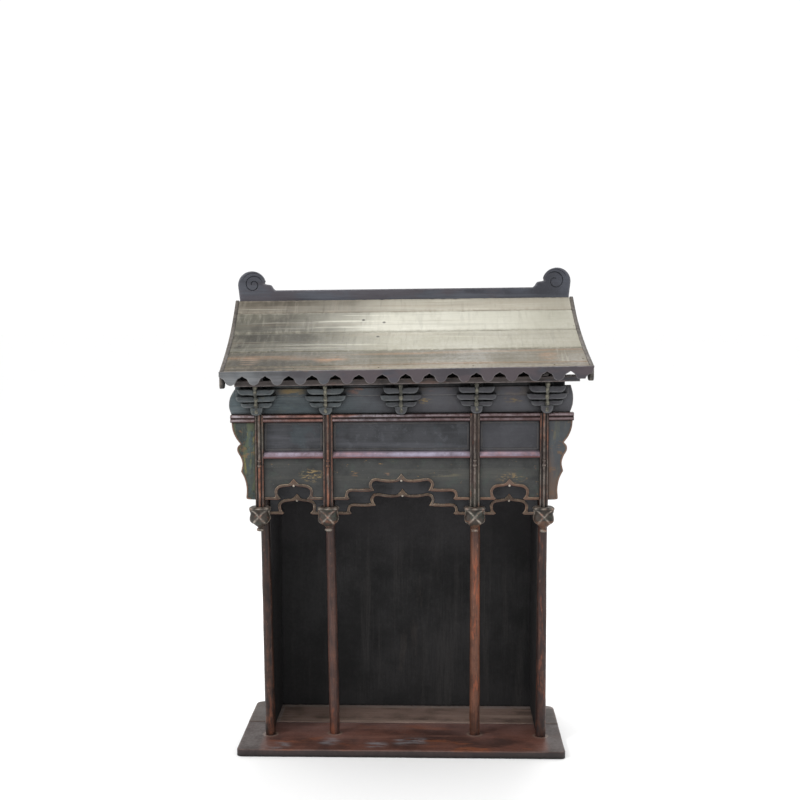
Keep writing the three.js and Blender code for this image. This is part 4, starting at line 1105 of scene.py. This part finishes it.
s = Shape()
outline = rectangle(LEFT_WALL_X + GAP, RIGHT_WALL_X - GAP, RAIL_BACK_Y + GAP, BACK_PANEL_Y - GAP)
s.board(dense(outline, 40), board_steps(CEILING_Z, CEILING_Z + CEILING_THICKNESS, 0.9, 0.5), "xy")
finished("ceiling_board", s, [interior], wave=0.2, seed=11)


# scalloped boards
ARCH_STEPS = 6
PEAK_BEAD_RADIUS = 2.7


def arch_lines(arch):
    """The right half of the opening, and of the line where its border ends."""
    inner = smooth_all(arch, ARCH_STEPS)
    outer = []
    for k, stretch in enumerate(arch):
        away = offset_controls(stretch, VALANCE_BORDER)
        x, z = stretch[-1]
        if k == len(arch) - 1:
            outer += smooth(outer[-1:] + away + [(x, z + PEAK_RISE)], ARCH_STEPS)[1 if outer else 0:]
        else:
            corner = (x + 2 * VALANCE_BORDER, z + VALANCE_BORDER - 1)
            outer += smooth(away[:-1] + [corner], ARCH_STEPS)
    return inner, [(outer[0][0] + 1, VALANCE_BORDER), *outer]


def scalloped_board(name, left, right, low, high, front, arch, paints, seed):
    """A valance with a raised border round its arched lower edge."""
    middle = (left + right) / 2
    half = (right - left) / 2
    inner, outer = arch_lines(arch)
    lip = (inner[0][0] + 4, 0)
    opening = [*reversed(mirrored([lip, *inner])), *reversed(inner[:-1]), lip]
    plain = [(half, 0), (half, high - low), (-half, high - low), (-half, 0), *opening]
    s = Shape()
    s.board(
        dense(moved(plain, middle, low), 18),
        board_steps(front, front + VALANCE_THICKNESS, 0.5, 0.5, 0.7),
    )
    rim = [
        (half, 0),
        (half, VALANCE_BORDER),
        *outer,
        *mirrored(outer[:-1]),
        (-half, VALANCE_BORDER),
        (-half, 0),
        *opening,
    ]
    top = front - VALANCE_RELIEF
    s.board(
        dense(moved(rim, middle, low), 8),
        [
            (1.3, top, 0.1),
            (0.9, top + 0.15, 0.8),
            (0.4, top + 0.7, 1.0),
            (0, top + 1.6, 0.3),
            (0, front + 1, 0.0),
        ],
        paint=1,
    )
    bead = []
    for k in range(9):
        a = math.pi * k / 8
        bead.append((PEAK_BEAD_RADIUS * math.sin(a) + 0.05, -PEAK_BEAD_RADIUS * math.cos(a), 0.8))
    peak_z = low + inner[-1][1]
    s.turned(bead, (middle, front - VALANCE_RELIEF / 2, peak_z - 1.3), 14, paint=2)
    finished(name, s, paints, wave=0.3, seed=seed)


for i, bay in enumerate(["left", "middle", "right"]):
    arch = WIDE_ARCH if bay == "middle" else SMALL_ARCH
    low, high, front = FRONT_VALANCE
    left = POST_X[i] + POST_HALF[i] + GAP
    right = POST_X[i + 1] - POST_HALF[i + 1] - GAP
    scalloped_board(
        "front_valance_" + bay, left, right, low, high, front, arch, [field, border, bead_paint], 12 + i
    )
    low, high, front = INNER_VALANCE
    heights = (low, high)
    inner_left = max(column_x(i, z) for z in heights) + COLUMN_FOOT_RADIUS
    inner_right = min(column_x(i + 1, z) for z in heights) - COLUMN_FOOT_RADIUS
    scalloped_board(
        "inner_valance_" + bay, inner_left, inner_right, low, high, front, arch,
        [dark_field, dark_border, bead_paint], 15 + i,
    )
    s = Shape()
    outline = dense(rectangle(left, right, MID_RAIL_TOP_Z + GAP, TOP_RAIL_Z - GAP), 25)
    s.board(
        outline,
        [
            (12, PANEL_Y + 2, 0.0),
            (7, PANEL_Y + 2, 0.0),
            (6.2, PANEL_Y + 1.9, 0.1),
            (5.6, PANEL_Y + 0.7, 0.9),
            (4.6, PANEL_Y, 0.5),
            (1.4, PANEL_Y, 0.3),
            (0.4, PANEL_Y + 0.5, 0.7),
            (0, PANEL_Y + 1.4, 0.4),
            (0, PANEL_Y + PANEL_THICKNESS - 0.6, 0.2),
            (0.6, PANEL_Y + PANEL_THICKNESS, 0.0),
        ],
    )
    finished("upper_panel_" + bay, s, [panel], wave=0.25, seed=18 + i)


# posts and drops
def post_section(half):
    """A moulded strip with a round bead down its middle, as (x, y, wear)."""
    flat = POST_FRONT_Y + 4.5
    fillet = POST_FRONT_Y + 2
    bead = []
    for k in range(9):
        a = math.pi - k * math.pi / 8
        bead.append((3 * math.cos(a), POST_FRONT_Y + 3 * (1 - math.sin(a)), 0.35 + 0.65 * math.sin(a)))
    side = [
        (half, POST_FRONT_Y + POST_DEPTH, 0.1),
        (half, fillet + 1.2, 0.35),
        (half - 0.4, fillet + 0.35, 0.6),
        (half - 1.3, fillet, 0.6),
        (half - 2.8, fillet, 0.55),
        (half - 3.6, fillet + 0.5, 0.4),
        (half - 4, flat, 0.0),
        (3.6, flat, 0.0),
    ]
    return [(-x, y, w) for x, y, w in side] + bead + side[::-1]


KNOP = [(0.1, 0), (2.6, -1), (4.2, -3.5), (2.8, -8), (3.6, -12), (4.8, -15), (3.4, -18.5), (0.1, -21)]
KNOP_RIDGES = [(3, 6), (13, 18)]
POST_RINGS = 36
DROP_SEGMENTS = 96
# Depths below the drop's top: its scalloped brim, the carved faces, the neck and the ring
BRIM_DEPTH = 4
CARVED_HEIGHT = 37
SOFTENING_DEPTH = 34
NECK_DEPTH = 44
RING_DEPTHS = (50, 57)
# Where the bands cross, as a share of the carved height
CROSS_DEPTH = 0.47
SQUARENESS = 3.4


def carved_drop(s, cx):
    """A square bud with crossing petals on each face, a neck and a ring."""
    rings = []
    for depth, half in smooth(DROP_RINGS, 5):
        soften = min(max((depth - SOFTENING_DEPTH) / 9, 0), 1)
        power = SQUARENESS + (2.0 - SQUARENESS) * soften
        ring = []
        for k in range(DROP_SEGMENTS):
            a = (k + 0.5) / DROP_SEGMENTS * 2 * math.pi
            c = abs(math.cos(a)) ** power
            n = abs(math.sin(a)) ** power
            radius = half / (c + n) ** (1 / power)
            face = (a + math.pi / 4) % (math.pi / 2) - math.pi / 4
            u = abs(face) / (math.pi / 4)
            h = (depth - BRIM_DEPTH) / CARVED_HEIGHT
            relief = 0.0
            wear = 0.0
            if 0 <= h <= 1:
                fade = min(h / 0.08, 1) * min((1 - h) / 0.15, 1)
                line = u - abs(h - CROSS_DEPTH) / 0.5
                crest = math.exp(-((line / 0.13) ** 2))
                if line < 0:
                    hollow = -2.0 if h < CROSS_DEPTH else -1.5
                    relief = hollow * min(-line / 0.3, 1)
                else:
                    relief = -0.8 * math.sin(min(line / 0.7, 1) * math.pi)
                relief = (relief + 0.9 * crest) * fade
                wear = crest * fade
            elif depth < BRIM_DEPTH:
                lobe = math.cos(4 * a * 2)
                relief = 0.5 * lobe
                wear = 0.45 + 0.35 * lobe
            if depth < NECK_DEPTH:
                radius += relief - 0.9
            else:
                wear = 0.7 if RING_DEPTHS[0] < depth < RING_DEPTHS[1] else 0.1
            x, y = cx + radius * math.cos(a), DROP_Y + radius * math.sin(a)
            ring.append((x, y, DROP_TOP_Z - depth, wear))
        rings.append(ring)
    s.loft(rings)


for i, side in enumerate(SIDES):
    s = Shape()
    section = post_section(POST_HALF[i])
    low, high = DROP_TOP_Z + GAP, TOP_RAIL_TOP_Z
    rings = []
    for k in range(POST_RINGS + 1):
        z = low + (high - low) * k / POST_RINGS
        rub = 0.75 + 0.5 * noise.noise(Vector((0.3 * i, 0, z / 18)))
        rings.append([(POST_X[i] + x, y, z, min(w * rub, 1)) for x, y, w in section])
    s.loft(rings)
    knop = []
    for r, z in smooth(KNOP, 4):
        on_ridge = any(a < -z < b for a, b in KNOP_RIDGES)
        knop.append((r, z, 0.8 if on_ridge else 0.25))
    s.turned(knop, (POST_X[i], POST_FRONT_Y + 2, MID_RAIL_Z - 1), 20)
    finished("hanging_post_" + side, s, [moulding], wave=0.3, seed=21 + i)
    s = Shape()
    carved_drop(s, POST_X[i])
    finished("lotus_drop_" + side, s, [lotus], wave=0.5, seed=25 + i)


# rails
def bead_arc(z0, height, steps, wear):
    """The front of a round moulding, as (y, z, wear)."""
    out = []
    for k in range(steps + 1):
        a = math.pi * k / steps
        out.append((
            RAIL_FRONT_Y + height / 2 * (1 - math.sin(a)),
            z0 + height / 2 * (1 - math.cos(a)),
            0.2 + wear * math.sin(a),
        ))
    return out


def run_along_x(s, section, x0, x1, step=9):
    """Adds a bar with the same (y, z, wear) section from one x to the other, unevenly worn."""
    count = max(2, math.ceil((x1 - x0) / step))
    rings = []
    for k in range(count + 1):
        x = x0 + (x1 - x0) * k / count
        rub = 0.8 + 0.45 * noise.noise(Vector((x / 17, section[0][1] / 10, 0)))
        rings.append([(x, y, z, min(w * rub, 1)) for y, z, w in section])
    s.loft(rings)


def between_posts(x0, x1):
    """The stretches of a rail that the posts leave open."""
    edges = [x0]
    for x, half in zip(POST_X, POST_HALF):
        edges += [x - half - GAP, x + half + GAP]
    edges.append(x1)
    return [(a, b) for a, b in zip(edges[::2], edges[1::2]) if b - a > 0.5]


def rail_piece(node, section, x0, x1, paint, seed):
    """A rail cut round the posts, with a plain strip behind them."""
    s = Shape()
    for a, b in between_posts(x0, x1):
        run_along_x(s, section, a, b)
    low, high = section[0][1], section[1][1]
    strip = [(RAIL_STRIP_Y, low, 0), (RAIL_BACK_Y, low, 0), (RAIL_BACK_Y, high, 0), (RAIL_STRIP_Y, high, 0)]
    run_along_x(s, strip, x0 + 1, x1 - 1, step=60)
    finished(node, s, [paint], wave=0.35, seed=seed)


groove = RAIL_FRONT_Y + RAIL_BEAD / 2 + 1
top_section = [
    (RAIL_BACK_Y, TOP_RAIL_Z, 0.0),
    (RAIL_BACK_Y, TOP_RAIL_TOP_Z, 0.0),
    *reversed(bead_arc(TOP_RAIL_TOP_Z - RAIL_BEAD, RAIL_BEAD, 10, 0.8)),
    (groove, TOP_RAIL_TOP_Z - RAIL_BEAD, 0.0),
    (groove, TOP_RAIL_Z + RAIL_BEAD, 0.0),
    *reversed(bead_arc(TOP_RAIL_Z, RAIL_BEAD, 10, 0.45)),
]
rail_piece("top_rail", top_section, -TOP_RAIL_HALF, TOP_RAIL_HALF, rail, 30)

mid_section = [
    (RAIL_BACK_Y, MID_RAIL_Z, 0.0),
    (RAIL_BACK_Y, MID_RAIL_TOP_Z, 0.1),
    (PANEL_Y, MID_RAIL_TOP_Z, 0.5),
    (PANEL_Y - 0.8, MID_RAIL_TOP_Z - 0.8, 0.6),
    (RAIL_FRONT_Y + 4.5, MID_RAIL_Z + 7.2, 0.4),
    (RAIL_FRONT_Y + 3.5, MID_RAIL_Z + 6.2, 0.2),
    *reversed(bead_arc(MID_RAIL_Z, MID_RAIL_BEAD, 8, 0.4)),
]
rail_piece("mid_rail", mid_section, POST_X[0] - POST_HALF[0], POST_X[3] + POST_HALF[0], ledge, 31)

# wings
for name, sign, seed in [("left", -1, 32), ("right", 1, 33)]:
    edge = smooth_all(WING_STRETCHES, 6)
    post_x = abs(POST_X[0 if sign < 0 else 3]) + POST_HALF[0] + GAP
    top = TOP_RAIL_Z - GAP
    outline = [(post_x, top), (edge[0][0], top), *edge[1:], (post_x, edge[-1][1] - 0.5)]
    controls = [(edge[0][0], top + WING_RIM), *edge[1:], (post_x, FRONT_VALANCE[0])]
    inside = offset_controls(controls, WING_RIM)
    strip = [(edge[0][0] - WING_RIM, top), (edge[0][0], top), *edge[1:], *reversed(inside)]
    face = mirrored if sign < 0 else list
    s = Shape()
    s.board(dense(face(outline), 12), board_steps(WING_Y, WING_Y + WING_THICKNESS, 0.8, 0.5, 1.5))
    rim_front = WING_Y - WING_RIM_RELIEF
    s.board(
        face(strip),
        [
            (1.1, rim_front, 0.5),
            (0.4, rim_front + 0.4, 1.0),
            (0, rim_front + 1.0, 0.6),
            (0, WING_Y + 1, 0.0),
        ],
        paint=1,
    )
    finished("wing_" + name, s, [wing_paint, wing_rim], wave=0.35, seed=seed)

# frieze, brackets, plank over them
s = Shape()
height = FRIEZE_TOP_Z - FRIEZE_Z
left_end, right_end = (
    smooth([(FRIEZE_HALF + out, share * height) for out, share in end], 8)
    for end in (FRIEZE_LEFT_END, FRIEZE_RIGHT_END)
)
rise_top = roof_z(FRIEZE_Y) - PLANK_DROP - FRIEZE_RISE_CLEARANCE - FRIEZE_Z
slot_foot = EAVE_PLANK[5] - FRIEZE_Z
rise = [(FRIEZE_RISE_RIGHT, height), (FRIEZE_RISE_RIGHT, rise_top)]
for wall_x in (RIGHT_WALL_X, LEFT_WALL_X - WALL_THICKNESS):
    slot_right, slot_left = wall_x + WALL_THICKNESS + GAP, wall_x - GAP
    rise += [(slot_right, rise_top), (slot_right, slot_foot), (slot_left, slot_foot), (slot_left, rise_top)]
rise.append((-FRIEZE_HALF, rise_top))
s.board(
    dense(moved([*mirrored(left_end), *right_end, *rise], 0, FRIEZE_Z), 16),
    board_steps(FRIEZE_Y, FRIEZE_Y + FRIEZE_THICKNESS, 0.9, 0.8),
)
batten_front = FRIEZE_Y - BATTEN_RELIEF
s.board(
    dense(rectangle(-FRIEZE_HALF, FRIEZE_HALF, BATTEN_Z, BATTEN_TOP_Z), 16),
    [(3, batten_front, 0.0), (0.7, batten_front, 0.6), (0, batten_front + 0.7, 0.9), (0, FRIEZE_Y + 1, 0.1)],
)
finished("frieze_board", s, [frieze], wave=0.3, seed=34)


def boat(half, tall):
    """An arm's outline: flat on top, round at the lower corners."""
    radius = min(tall, half) * 0.85
    bow = []
    for k in range(7):
        a = -math.pi / 2 + k * math.pi / 12
        bow.append((half - radius + radius * math.cos(a), radius + radius * math.sin(a)))
    return [*bow, (half, tall), (-half, tall), *mirrored(bow)]


# The foot and three arms of a bracket: how far up they start, their height, half width and front
TIERS = [(0, 18, 14, 42), (17, 11.5, 36, 44), (31.5, 13, 46, 38), (48, 14, 41, 31)]
CORE_HALF = 15
CORE_FOOT = 14
CORE_FRONT_Y = 48
NOSE_FRONT = [(0, 24), (11, 23), (19, 30), (28, 28), (36, 36), (46, 35), (54, 41), (66.4, 40)]
NOSE_BACK_Y = 50
NOSE_KNOB_PITCH = 14.5
NOSE_RINGS = 40


def bracket(name, x, seed):
    """Stacked arms with a knobbed nose down their middle."""
    s = Shape()
    for z, tall, half, front in TIERS:
        longer = 2.2 * noise.noise(Vector((3.1 * seed, z / 5, 1.7)))
        tilt = 0.03 * noise.noise(Vector((2.3 * seed, z / 7, 6.1)))
        arm = [(px, pz + tilt * px) for px, pz in boat(half + longer, tall)]
        outline = dense(moved(arm, x, BRACKET_FOOT_Z + z), 7)
        s.board(
            outline,
            [
                (4.2, front, 0.1),
                (2.2, front + 0.15, 0.5),
                (0.8, front + 0.9, 1.0),
                (0, front + 2.2, 0.6),
                (0, BRACKET_BACK_Y, 0.0),
            ],
        )
    s.board(
        rectangle(x - CORE_HALF, x + CORE_HALF, BRACKET_FOOT_Z + CORE_FOOT, BRACKET_TOP_Z),
        board_steps(CORE_FRONT_Y, BRACKET_BACK_Y, 0.8, 0.4),
    )
    rings = []
    for k in range(NOSE_RINGS + 1):
        t = k / NOSE_RINGS
        depth = (BRACKET_TOP_Z - BRACKET_FOOT_Z - 4) * t
        front = table(NOSE_FRONT, depth)
        knob = abs(math.sin(math.pi * (depth + 3) / NOSE_KNOB_PITCH))
        front -= 1.2 * knob - 1.2
        half = 2.5 + 2.6 * knob
        z = BRACKET_TOP_Z - depth
        section = []
        for a in range(9):
            angle = math.pi - a * math.pi / 8
            section.append((
                x + half * math.cos(angle), front + half * 0.9 * (1 - math.sin(angle)), z,
                min(1.0, 0.35 + 0.6 * knob * math.sin(angle)),
            ))
        rings.append([(x - half, NOSE_BACK_Y, z, 0), *section, (x + half, NOSE_BACK_Y, z, 0)])
    s.loft(rings, paint=1)
    paints = [bracket_paint, nose_paint]
    finished(name, s, paints, wave=0.7, lumps=0.9, seed=seed)


for i, x in enumerate(BRACKET_X):
    bracket("bracket_%d" % (i + 1), x, 35 + i)

s = Shape()
x0, x1, y0, y1, z0, z1 = EAVE_PLANK
s.board(dense(rectangle(x0, x1, z0, z1), 16), board_steps(y0, y1, 0.9, 0.9))
finished("eave_plank", s, [plank_edge], wave=0.4, seed=40)

# roof
# Depth of the tool marks, and how far apart the points along a plank are
ADZE = 0.42
STATION = 3.4


def roof_plank(index, front_y, back_y):
    """A plank with shallow tool marks across its top and worn long edges."""
    s = Shape()
    across_steps = max(6, round((back_y - front_y) / 4))
    ys = [front_y + (back_y - front_y) * k / across_steps for k in range(across_steps + 1)]
    count = round(2 * PLANK_HALF / STATION)
    rings = []
    for k in range(count + 1):
        x = -PLANK_HALF + 2 * PLANK_HALF * k / count
        end = min(k, count - k) * STATION
        top = []
        for j, y in enumerate(ys):
            mark = noise.noise(Vector((x / 9, y / 46, 3.1 * index)))
            hollow = noise.noise(Vector((x / 60, y / 30, 7.7 * index)))
            chip = max(0.0, noise.noise(Vector((x / 15, 1.7 * index, 0))) - 0.1)
            edge = min(y - front_y, back_y - y)
            arris = (1.3 + 1.5 * chip) * max(0.0, 1 - edge / 3.0) ** 1.5 if index else 0.0
            if index == 0 and y - front_y < 3:
                arris = 0.9 * (1 - (y - front_y) / 3)
            drop = 0.25 - ADZE * mark * min(1, edge / 6) - 0.3 * hollow + arris + 0.4
            if end < 2:
                drop += 0.6
            wear = max(0.0, min(1.0, 0.45 * mark + (0.5 if edge < 5 else 0.0)))
            top.append((x, y, chord_z(y) - max(drop, 0.0), wear))
        under = [(x, y, chord_z(y) - PLANK_DROP, 0.0) for y in ys[::4]]
        if under[-1][1] != ys[-1]:
            under.append((x, ys[-1], chord_z(ys[-1]) - PLANK_DROP, 0.0))
        rings.append(top + under[::-1])
    s.loft(rings)
    return s


NAIL_HEAD = [(0.1, 0.8, 1), (1.5, 0.65, 1), (2.2, 0.1, 1), (2.2, -1.5, 1)]
NAILS = [
    [(-396, -18), (-250, -16), (-60, -18), (150, -17), (330, -18)],
    [(-400, 20), (398, 16)],
    [],
    [(402, 196)],
    [],
]
for index in range(5):
    front_y = ROOF_SEAMS_Y[index] + (GAP if index else 0)
    back_y = ROOF_SEAMS_Y[index + 1]
    s = roof_plank(index, front_y, back_y)
    for x, y in NAILS[index]:
        s.turned(NAIL_HEAD, (x, y, chord_z(y) - 0.5), 10)
    name = "roof_plank_%d" % (index + 1)
    finished(name, s, [roof_wood[index]], slides=True, wave=0.15, seed=41 + index)

for name, x0, seed in [("left", -ROOF_HALF, 46), ("right", ROOF_HALF - BARGE_THICKNESS, 47)]:
    hook_z = roof_z(EAVE_Y) + (0 if name == "left" else RIGHT_HOOK_RISE)
    hook = smooth([(EAVE_Y + back, hook_z - drop) for back, drop in BARGE_HOOK], 3)
    outline = [
        *hook,
        *slope(EAVE_Y + BARGE_HOOK_END, RIDGE_Y, BARGE_DEPTH, 30),
        *reversed(slope(EAVE_Y + GAP, RIDGE_Y, 0, 34)),
    ]
    s = Shape()
    s.board(outline, board_steps(x0, x0 + BARGE_THICKNESS, 0.8, 0.9, 2), "yz")
    finished("barge_board_" + name, s, [barge_wood], slides=True, wave=0.2, seed=seed)

s = Shape()
pitch = 2 * ROOF_HALF / FASCIA_LOBES
edge = []
for i in range(FASCIA_LOBES):
    if i == FASCIA_LOBES - 1:
        line = BROKEN_TONGUE
    else:
        line = smooth(TONGUE + [(1 - a, b) for a, b in TONGUE[-2::-1]], 4)[:-1]
    tip_z = EAVE_Z - FASCIA_HEIGHT * (1 + 0.03 * noise.noise(Vector((i * 1.7, 0, 0))))
    notch = FASCIA_NOTCH * (0.97 + 0.06 * noise.noise(Vector((i, 3, 0))))
    for share, rise in line:
        edge.append((-ROOF_HALF + (i + share) * pitch, tip_z + rise * notch))
top_line = [(ROOF_HALF * (1 - 2 * k / 50), EAVE_Z) for k in range(51)]
outline = [*edge, (ROOF_HALF - 2, EAVE_Z - FASCIA_HEIGHT + FASCIA_NOTCH), *top_line]
front = EAVE_Y - GAP - FASCIA_THICKNESS
s.board(
    outline,
    [
        (2.0, front, 0.0),
        (0.9, front + 0.1, 0.6),
        (0.3, front + 0.5, 1.0),
        (0, front + 1.2, 0.7),
        (0, front + FASCIA_THICKNESS - 0.7, 0.1),
        (0.7, front + FASCIA_THICKNESS, 0.0),
    ],
)
finished("fascia", s, [trim], slides=True, wave=0.3, seed=48)


# ridge board with its scrolls
def scroll_head(steps):
    """The right end of the ridge board's outline."""
    radius = SCROLL_RADIUS
    cx, cz = RIDGE_HALF - radius, SCROLL_TOP_Z - radius
    dome = []
    for k in range(steps + 1):
        a = math.radians(-10 + 175 * k / steps)
        dome.append((cx + radius * math.cos(a), cz + radius * math.sin(a)))
    inside = cx - radius
    step = smooth([*moved(SCROLL_STEP_LINE, inside, cz), (inside - SCROLL_STEP, RIDGE_TOP_Z)], 4)
    outside = RIDGE_HALF - 4
    return [(outside, RIDGE_FOOT_Z), (outside, cz - 36), *dome, *step]


def cut_along(s, line, width, depth):
    """A wedge along a line on the ridge board's face, to cut with."""
    rings = []
    for i, (x, z) in enumerate(line):
        ax, az = line[max(i - 1, 0)]
        bx, bz = line[min(i + 1, len(line) - 1)]
        length = math.hypot(bx - ax, bz - az)
        nx, nz = -(bz - az) / length, (bx - ax) / length
        taper = min(1.0, 0.25 + i / 4, 0.25 + (len(line) - 1 - i) / 4)
        half = width * taper / 2 * 1.4
        corners = ((-half, -1.0), (half, -1.0), (0, depth * taper))
        rings.append([(x + nx * dx, RIDGE_FRONT_Y + dy, z + nz * dx, 0.0) for dx, dy in corners])
    s.loft(rings)


SPIRAL_STEPS = 56


def spiral(cx, cz, radius, eye, turns, start, sign):
    """A line that winds from the outer radius to that of the eye."""
    line = []
    for k in range(SPIRAL_STEPS + 1):
        t = k / SPIRAL_STEPS
        a = start - t * turns * 2 * math.pi
        rr = radius + (eye - radius) * t
        line.append((cx + sign * rr * math.cos(a), cz + rr * math.sin(a)))
    return line


right = scroll_head(28)
outline = dense([*right, *mirrored(right)], 14)
s = Shape()
s.board(
    outline,
    [
        (4.6, RIDGE_FRONT_Y, 0.0),
        (2.6, RIDGE_FRONT_Y + 0.2, 0.35),
        (0.9, RIDGE_FRONT_Y + 0.9, 0.9),
        (0, RIDGE_FRONT_Y + 2.0, 0.7),
        (0, RIDGE_FRONT_Y + RIDGE_THICKNESS - 1, 0.3),
        (1, RIDGE_FRONT_Y + RIDGE_THICKNESS, 0.2),
        (3.4, RIDGE_FRONT_Y + RIDGE_THICKNESS, 0.0),
    ],
)
ridge = finished("ridge_board", s, [ridge_wood], slides=True, wave=0.0, seed=49)
centre_x, centre_z = RIDGE_HALF - SCROLL_RADIUS - 4, SCROLL_TOP_Z - SCROLL_RADIUS + 1
# Side, outer radius, inner radius, turns, start in half turns, and the width and depth of the cut
GROOVES = [
    (-1, 23, 4, 1.5, 0.9, 3.0, 2.0),
    (1, 24, 6, 1.2, 0.75, 3.0, 2.0),
    (-1, 28.5, 28.5, 0.42, 0.98, 2.2, 1.3),
    (1, 29, 29, 0.42, 0.98, 2.2, 1.3),
]
tool = Shape()
for side, radius, eye, turns, start, width, depth in GROOVES:
    line = spiral(side * centre_x, centre_z, radius, eye, turns, math.pi * start, side)
    cut_along(tool, line, width, depth)
cutter_mesh = bpy.data.meshes.new("groove_tool")
cutter_mesh.from_pydata([in_row_frame(*point, True) for point in tool.points], [], tool.faces)
faced_outwards(cutter_mesh)
cutter = added("groove_tool", cutter_mesh)
cutter.hide_render = True
modifier = ridge.modifiers.new("grooves", "BOOLEAN")
modifier.operation = "DIFFERENCE"
modifier.solver = "EXACT"
modifier.object = cutter
evaluated = ridge.evaluated_get(bpy.context.evaluated_depsgraph_get())
carved = bpy.data.meshes.new_from_object(evaluated)
ridge.modifiers.remove(modifier)
ridge.data = carved
bpy.data.objects.remove(cutter)

# floor, light and camera
floor_mesh = bpy.data.meshes.new("floor")
FLOOR_REACH = 30
corners = rectangle(-FLOOR_REACH, FLOOR_REACH, -FLOOR_REACH, FLOOR_REACH)
floor_mesh.from_pydata([(x, y, 0) for x, y in corners], [], [(0, 1, 2, 3)])
floor = added("floor", floor_mesh)
t = Tree("floor_paint")
tone = t.mix(t.noise(3.0, 2.0), (0.93, 0.93, 0.93, 1), (0.96, 0.96, 0.957, 1))
shader = t.add("ShaderNodeBsdfPrincipled", {"Base Color": tone, "Roughness": 0.9})
out = t.add("ShaderNodeOutputMaterial")
t.links.new(shader.outputs[0], out.inputs[0])
floor_mesh.materials.append(t.material)

world = bpy.data.worlds.new("studio")
bpy.context.scene.world = world
world.use_nodes = True
sky = world.node_tree.nodes["Background"]
sky.inputs["Color"].default_value = (1.0, 1.0, 1.0, 1.0)
sky.inputs["Strength"].default_value = 1.06


def area_light(name, place, aim, size, power):
    lamp = bpy.data.lights.new(name, "AREA")
    lamp.size = size
    lamp.energy = power
    light = added(name, lamp)
    light.location = place
    light.rotation_euler = (Vector(aim) - Vector(place)).to_track_quat("-Z", "Y").to_euler()


area_light("key", (-2.4, -1.9, 2.9), (0, 0, 0.8), 1.1, 48)
area_light("fill", (2.4, -2.8, 1.2), (0, 0, 0.5), 2.0, 4)
area_light("top", (0.25, 1.5, 2.7), (0, 0.1, 1.0), 1.4, 34)

scene = bpy.context.scene
scene.view_settings.view_transform = "Standard"
CAMERA_PLACE = (0.07777, -3.06225, 1.06514)
LENS = 58.5
SENSOR_WIDTH = 36
YAW, PITCH, ROLL = 0.02924, 0.0826, 0.00175
right_axis = Vector((math.cos(YAW), math.sin(YAW), 0))
forward = Vector((-math.sin(YAW) * math.cos(PITCH), math.cos(YAW) * math.cos(PITCH), -math.sin(PITCH)))
up_axis = right_axis.cross(forward)
turned_right = right_axis * math.cos(ROLL) - up_axis * math.sin(ROLL)
turned_up = right_axis * math.sin(ROLL) + up_axis * math.cos(ROLL)
camera_data = bpy.data.cameras.new("camera")
camera_data.lens = LENS
camera_data.sensor_width = SENSOR_WIDTH
camera = added("camera", camera_data)
axes = Matrix((turned_right, turned_up, -forward)).transposed().to_4x4()
camera.matrix_world = Matrix.Translation(CAMERA_PLACE) @ axes
scene.camera = camera
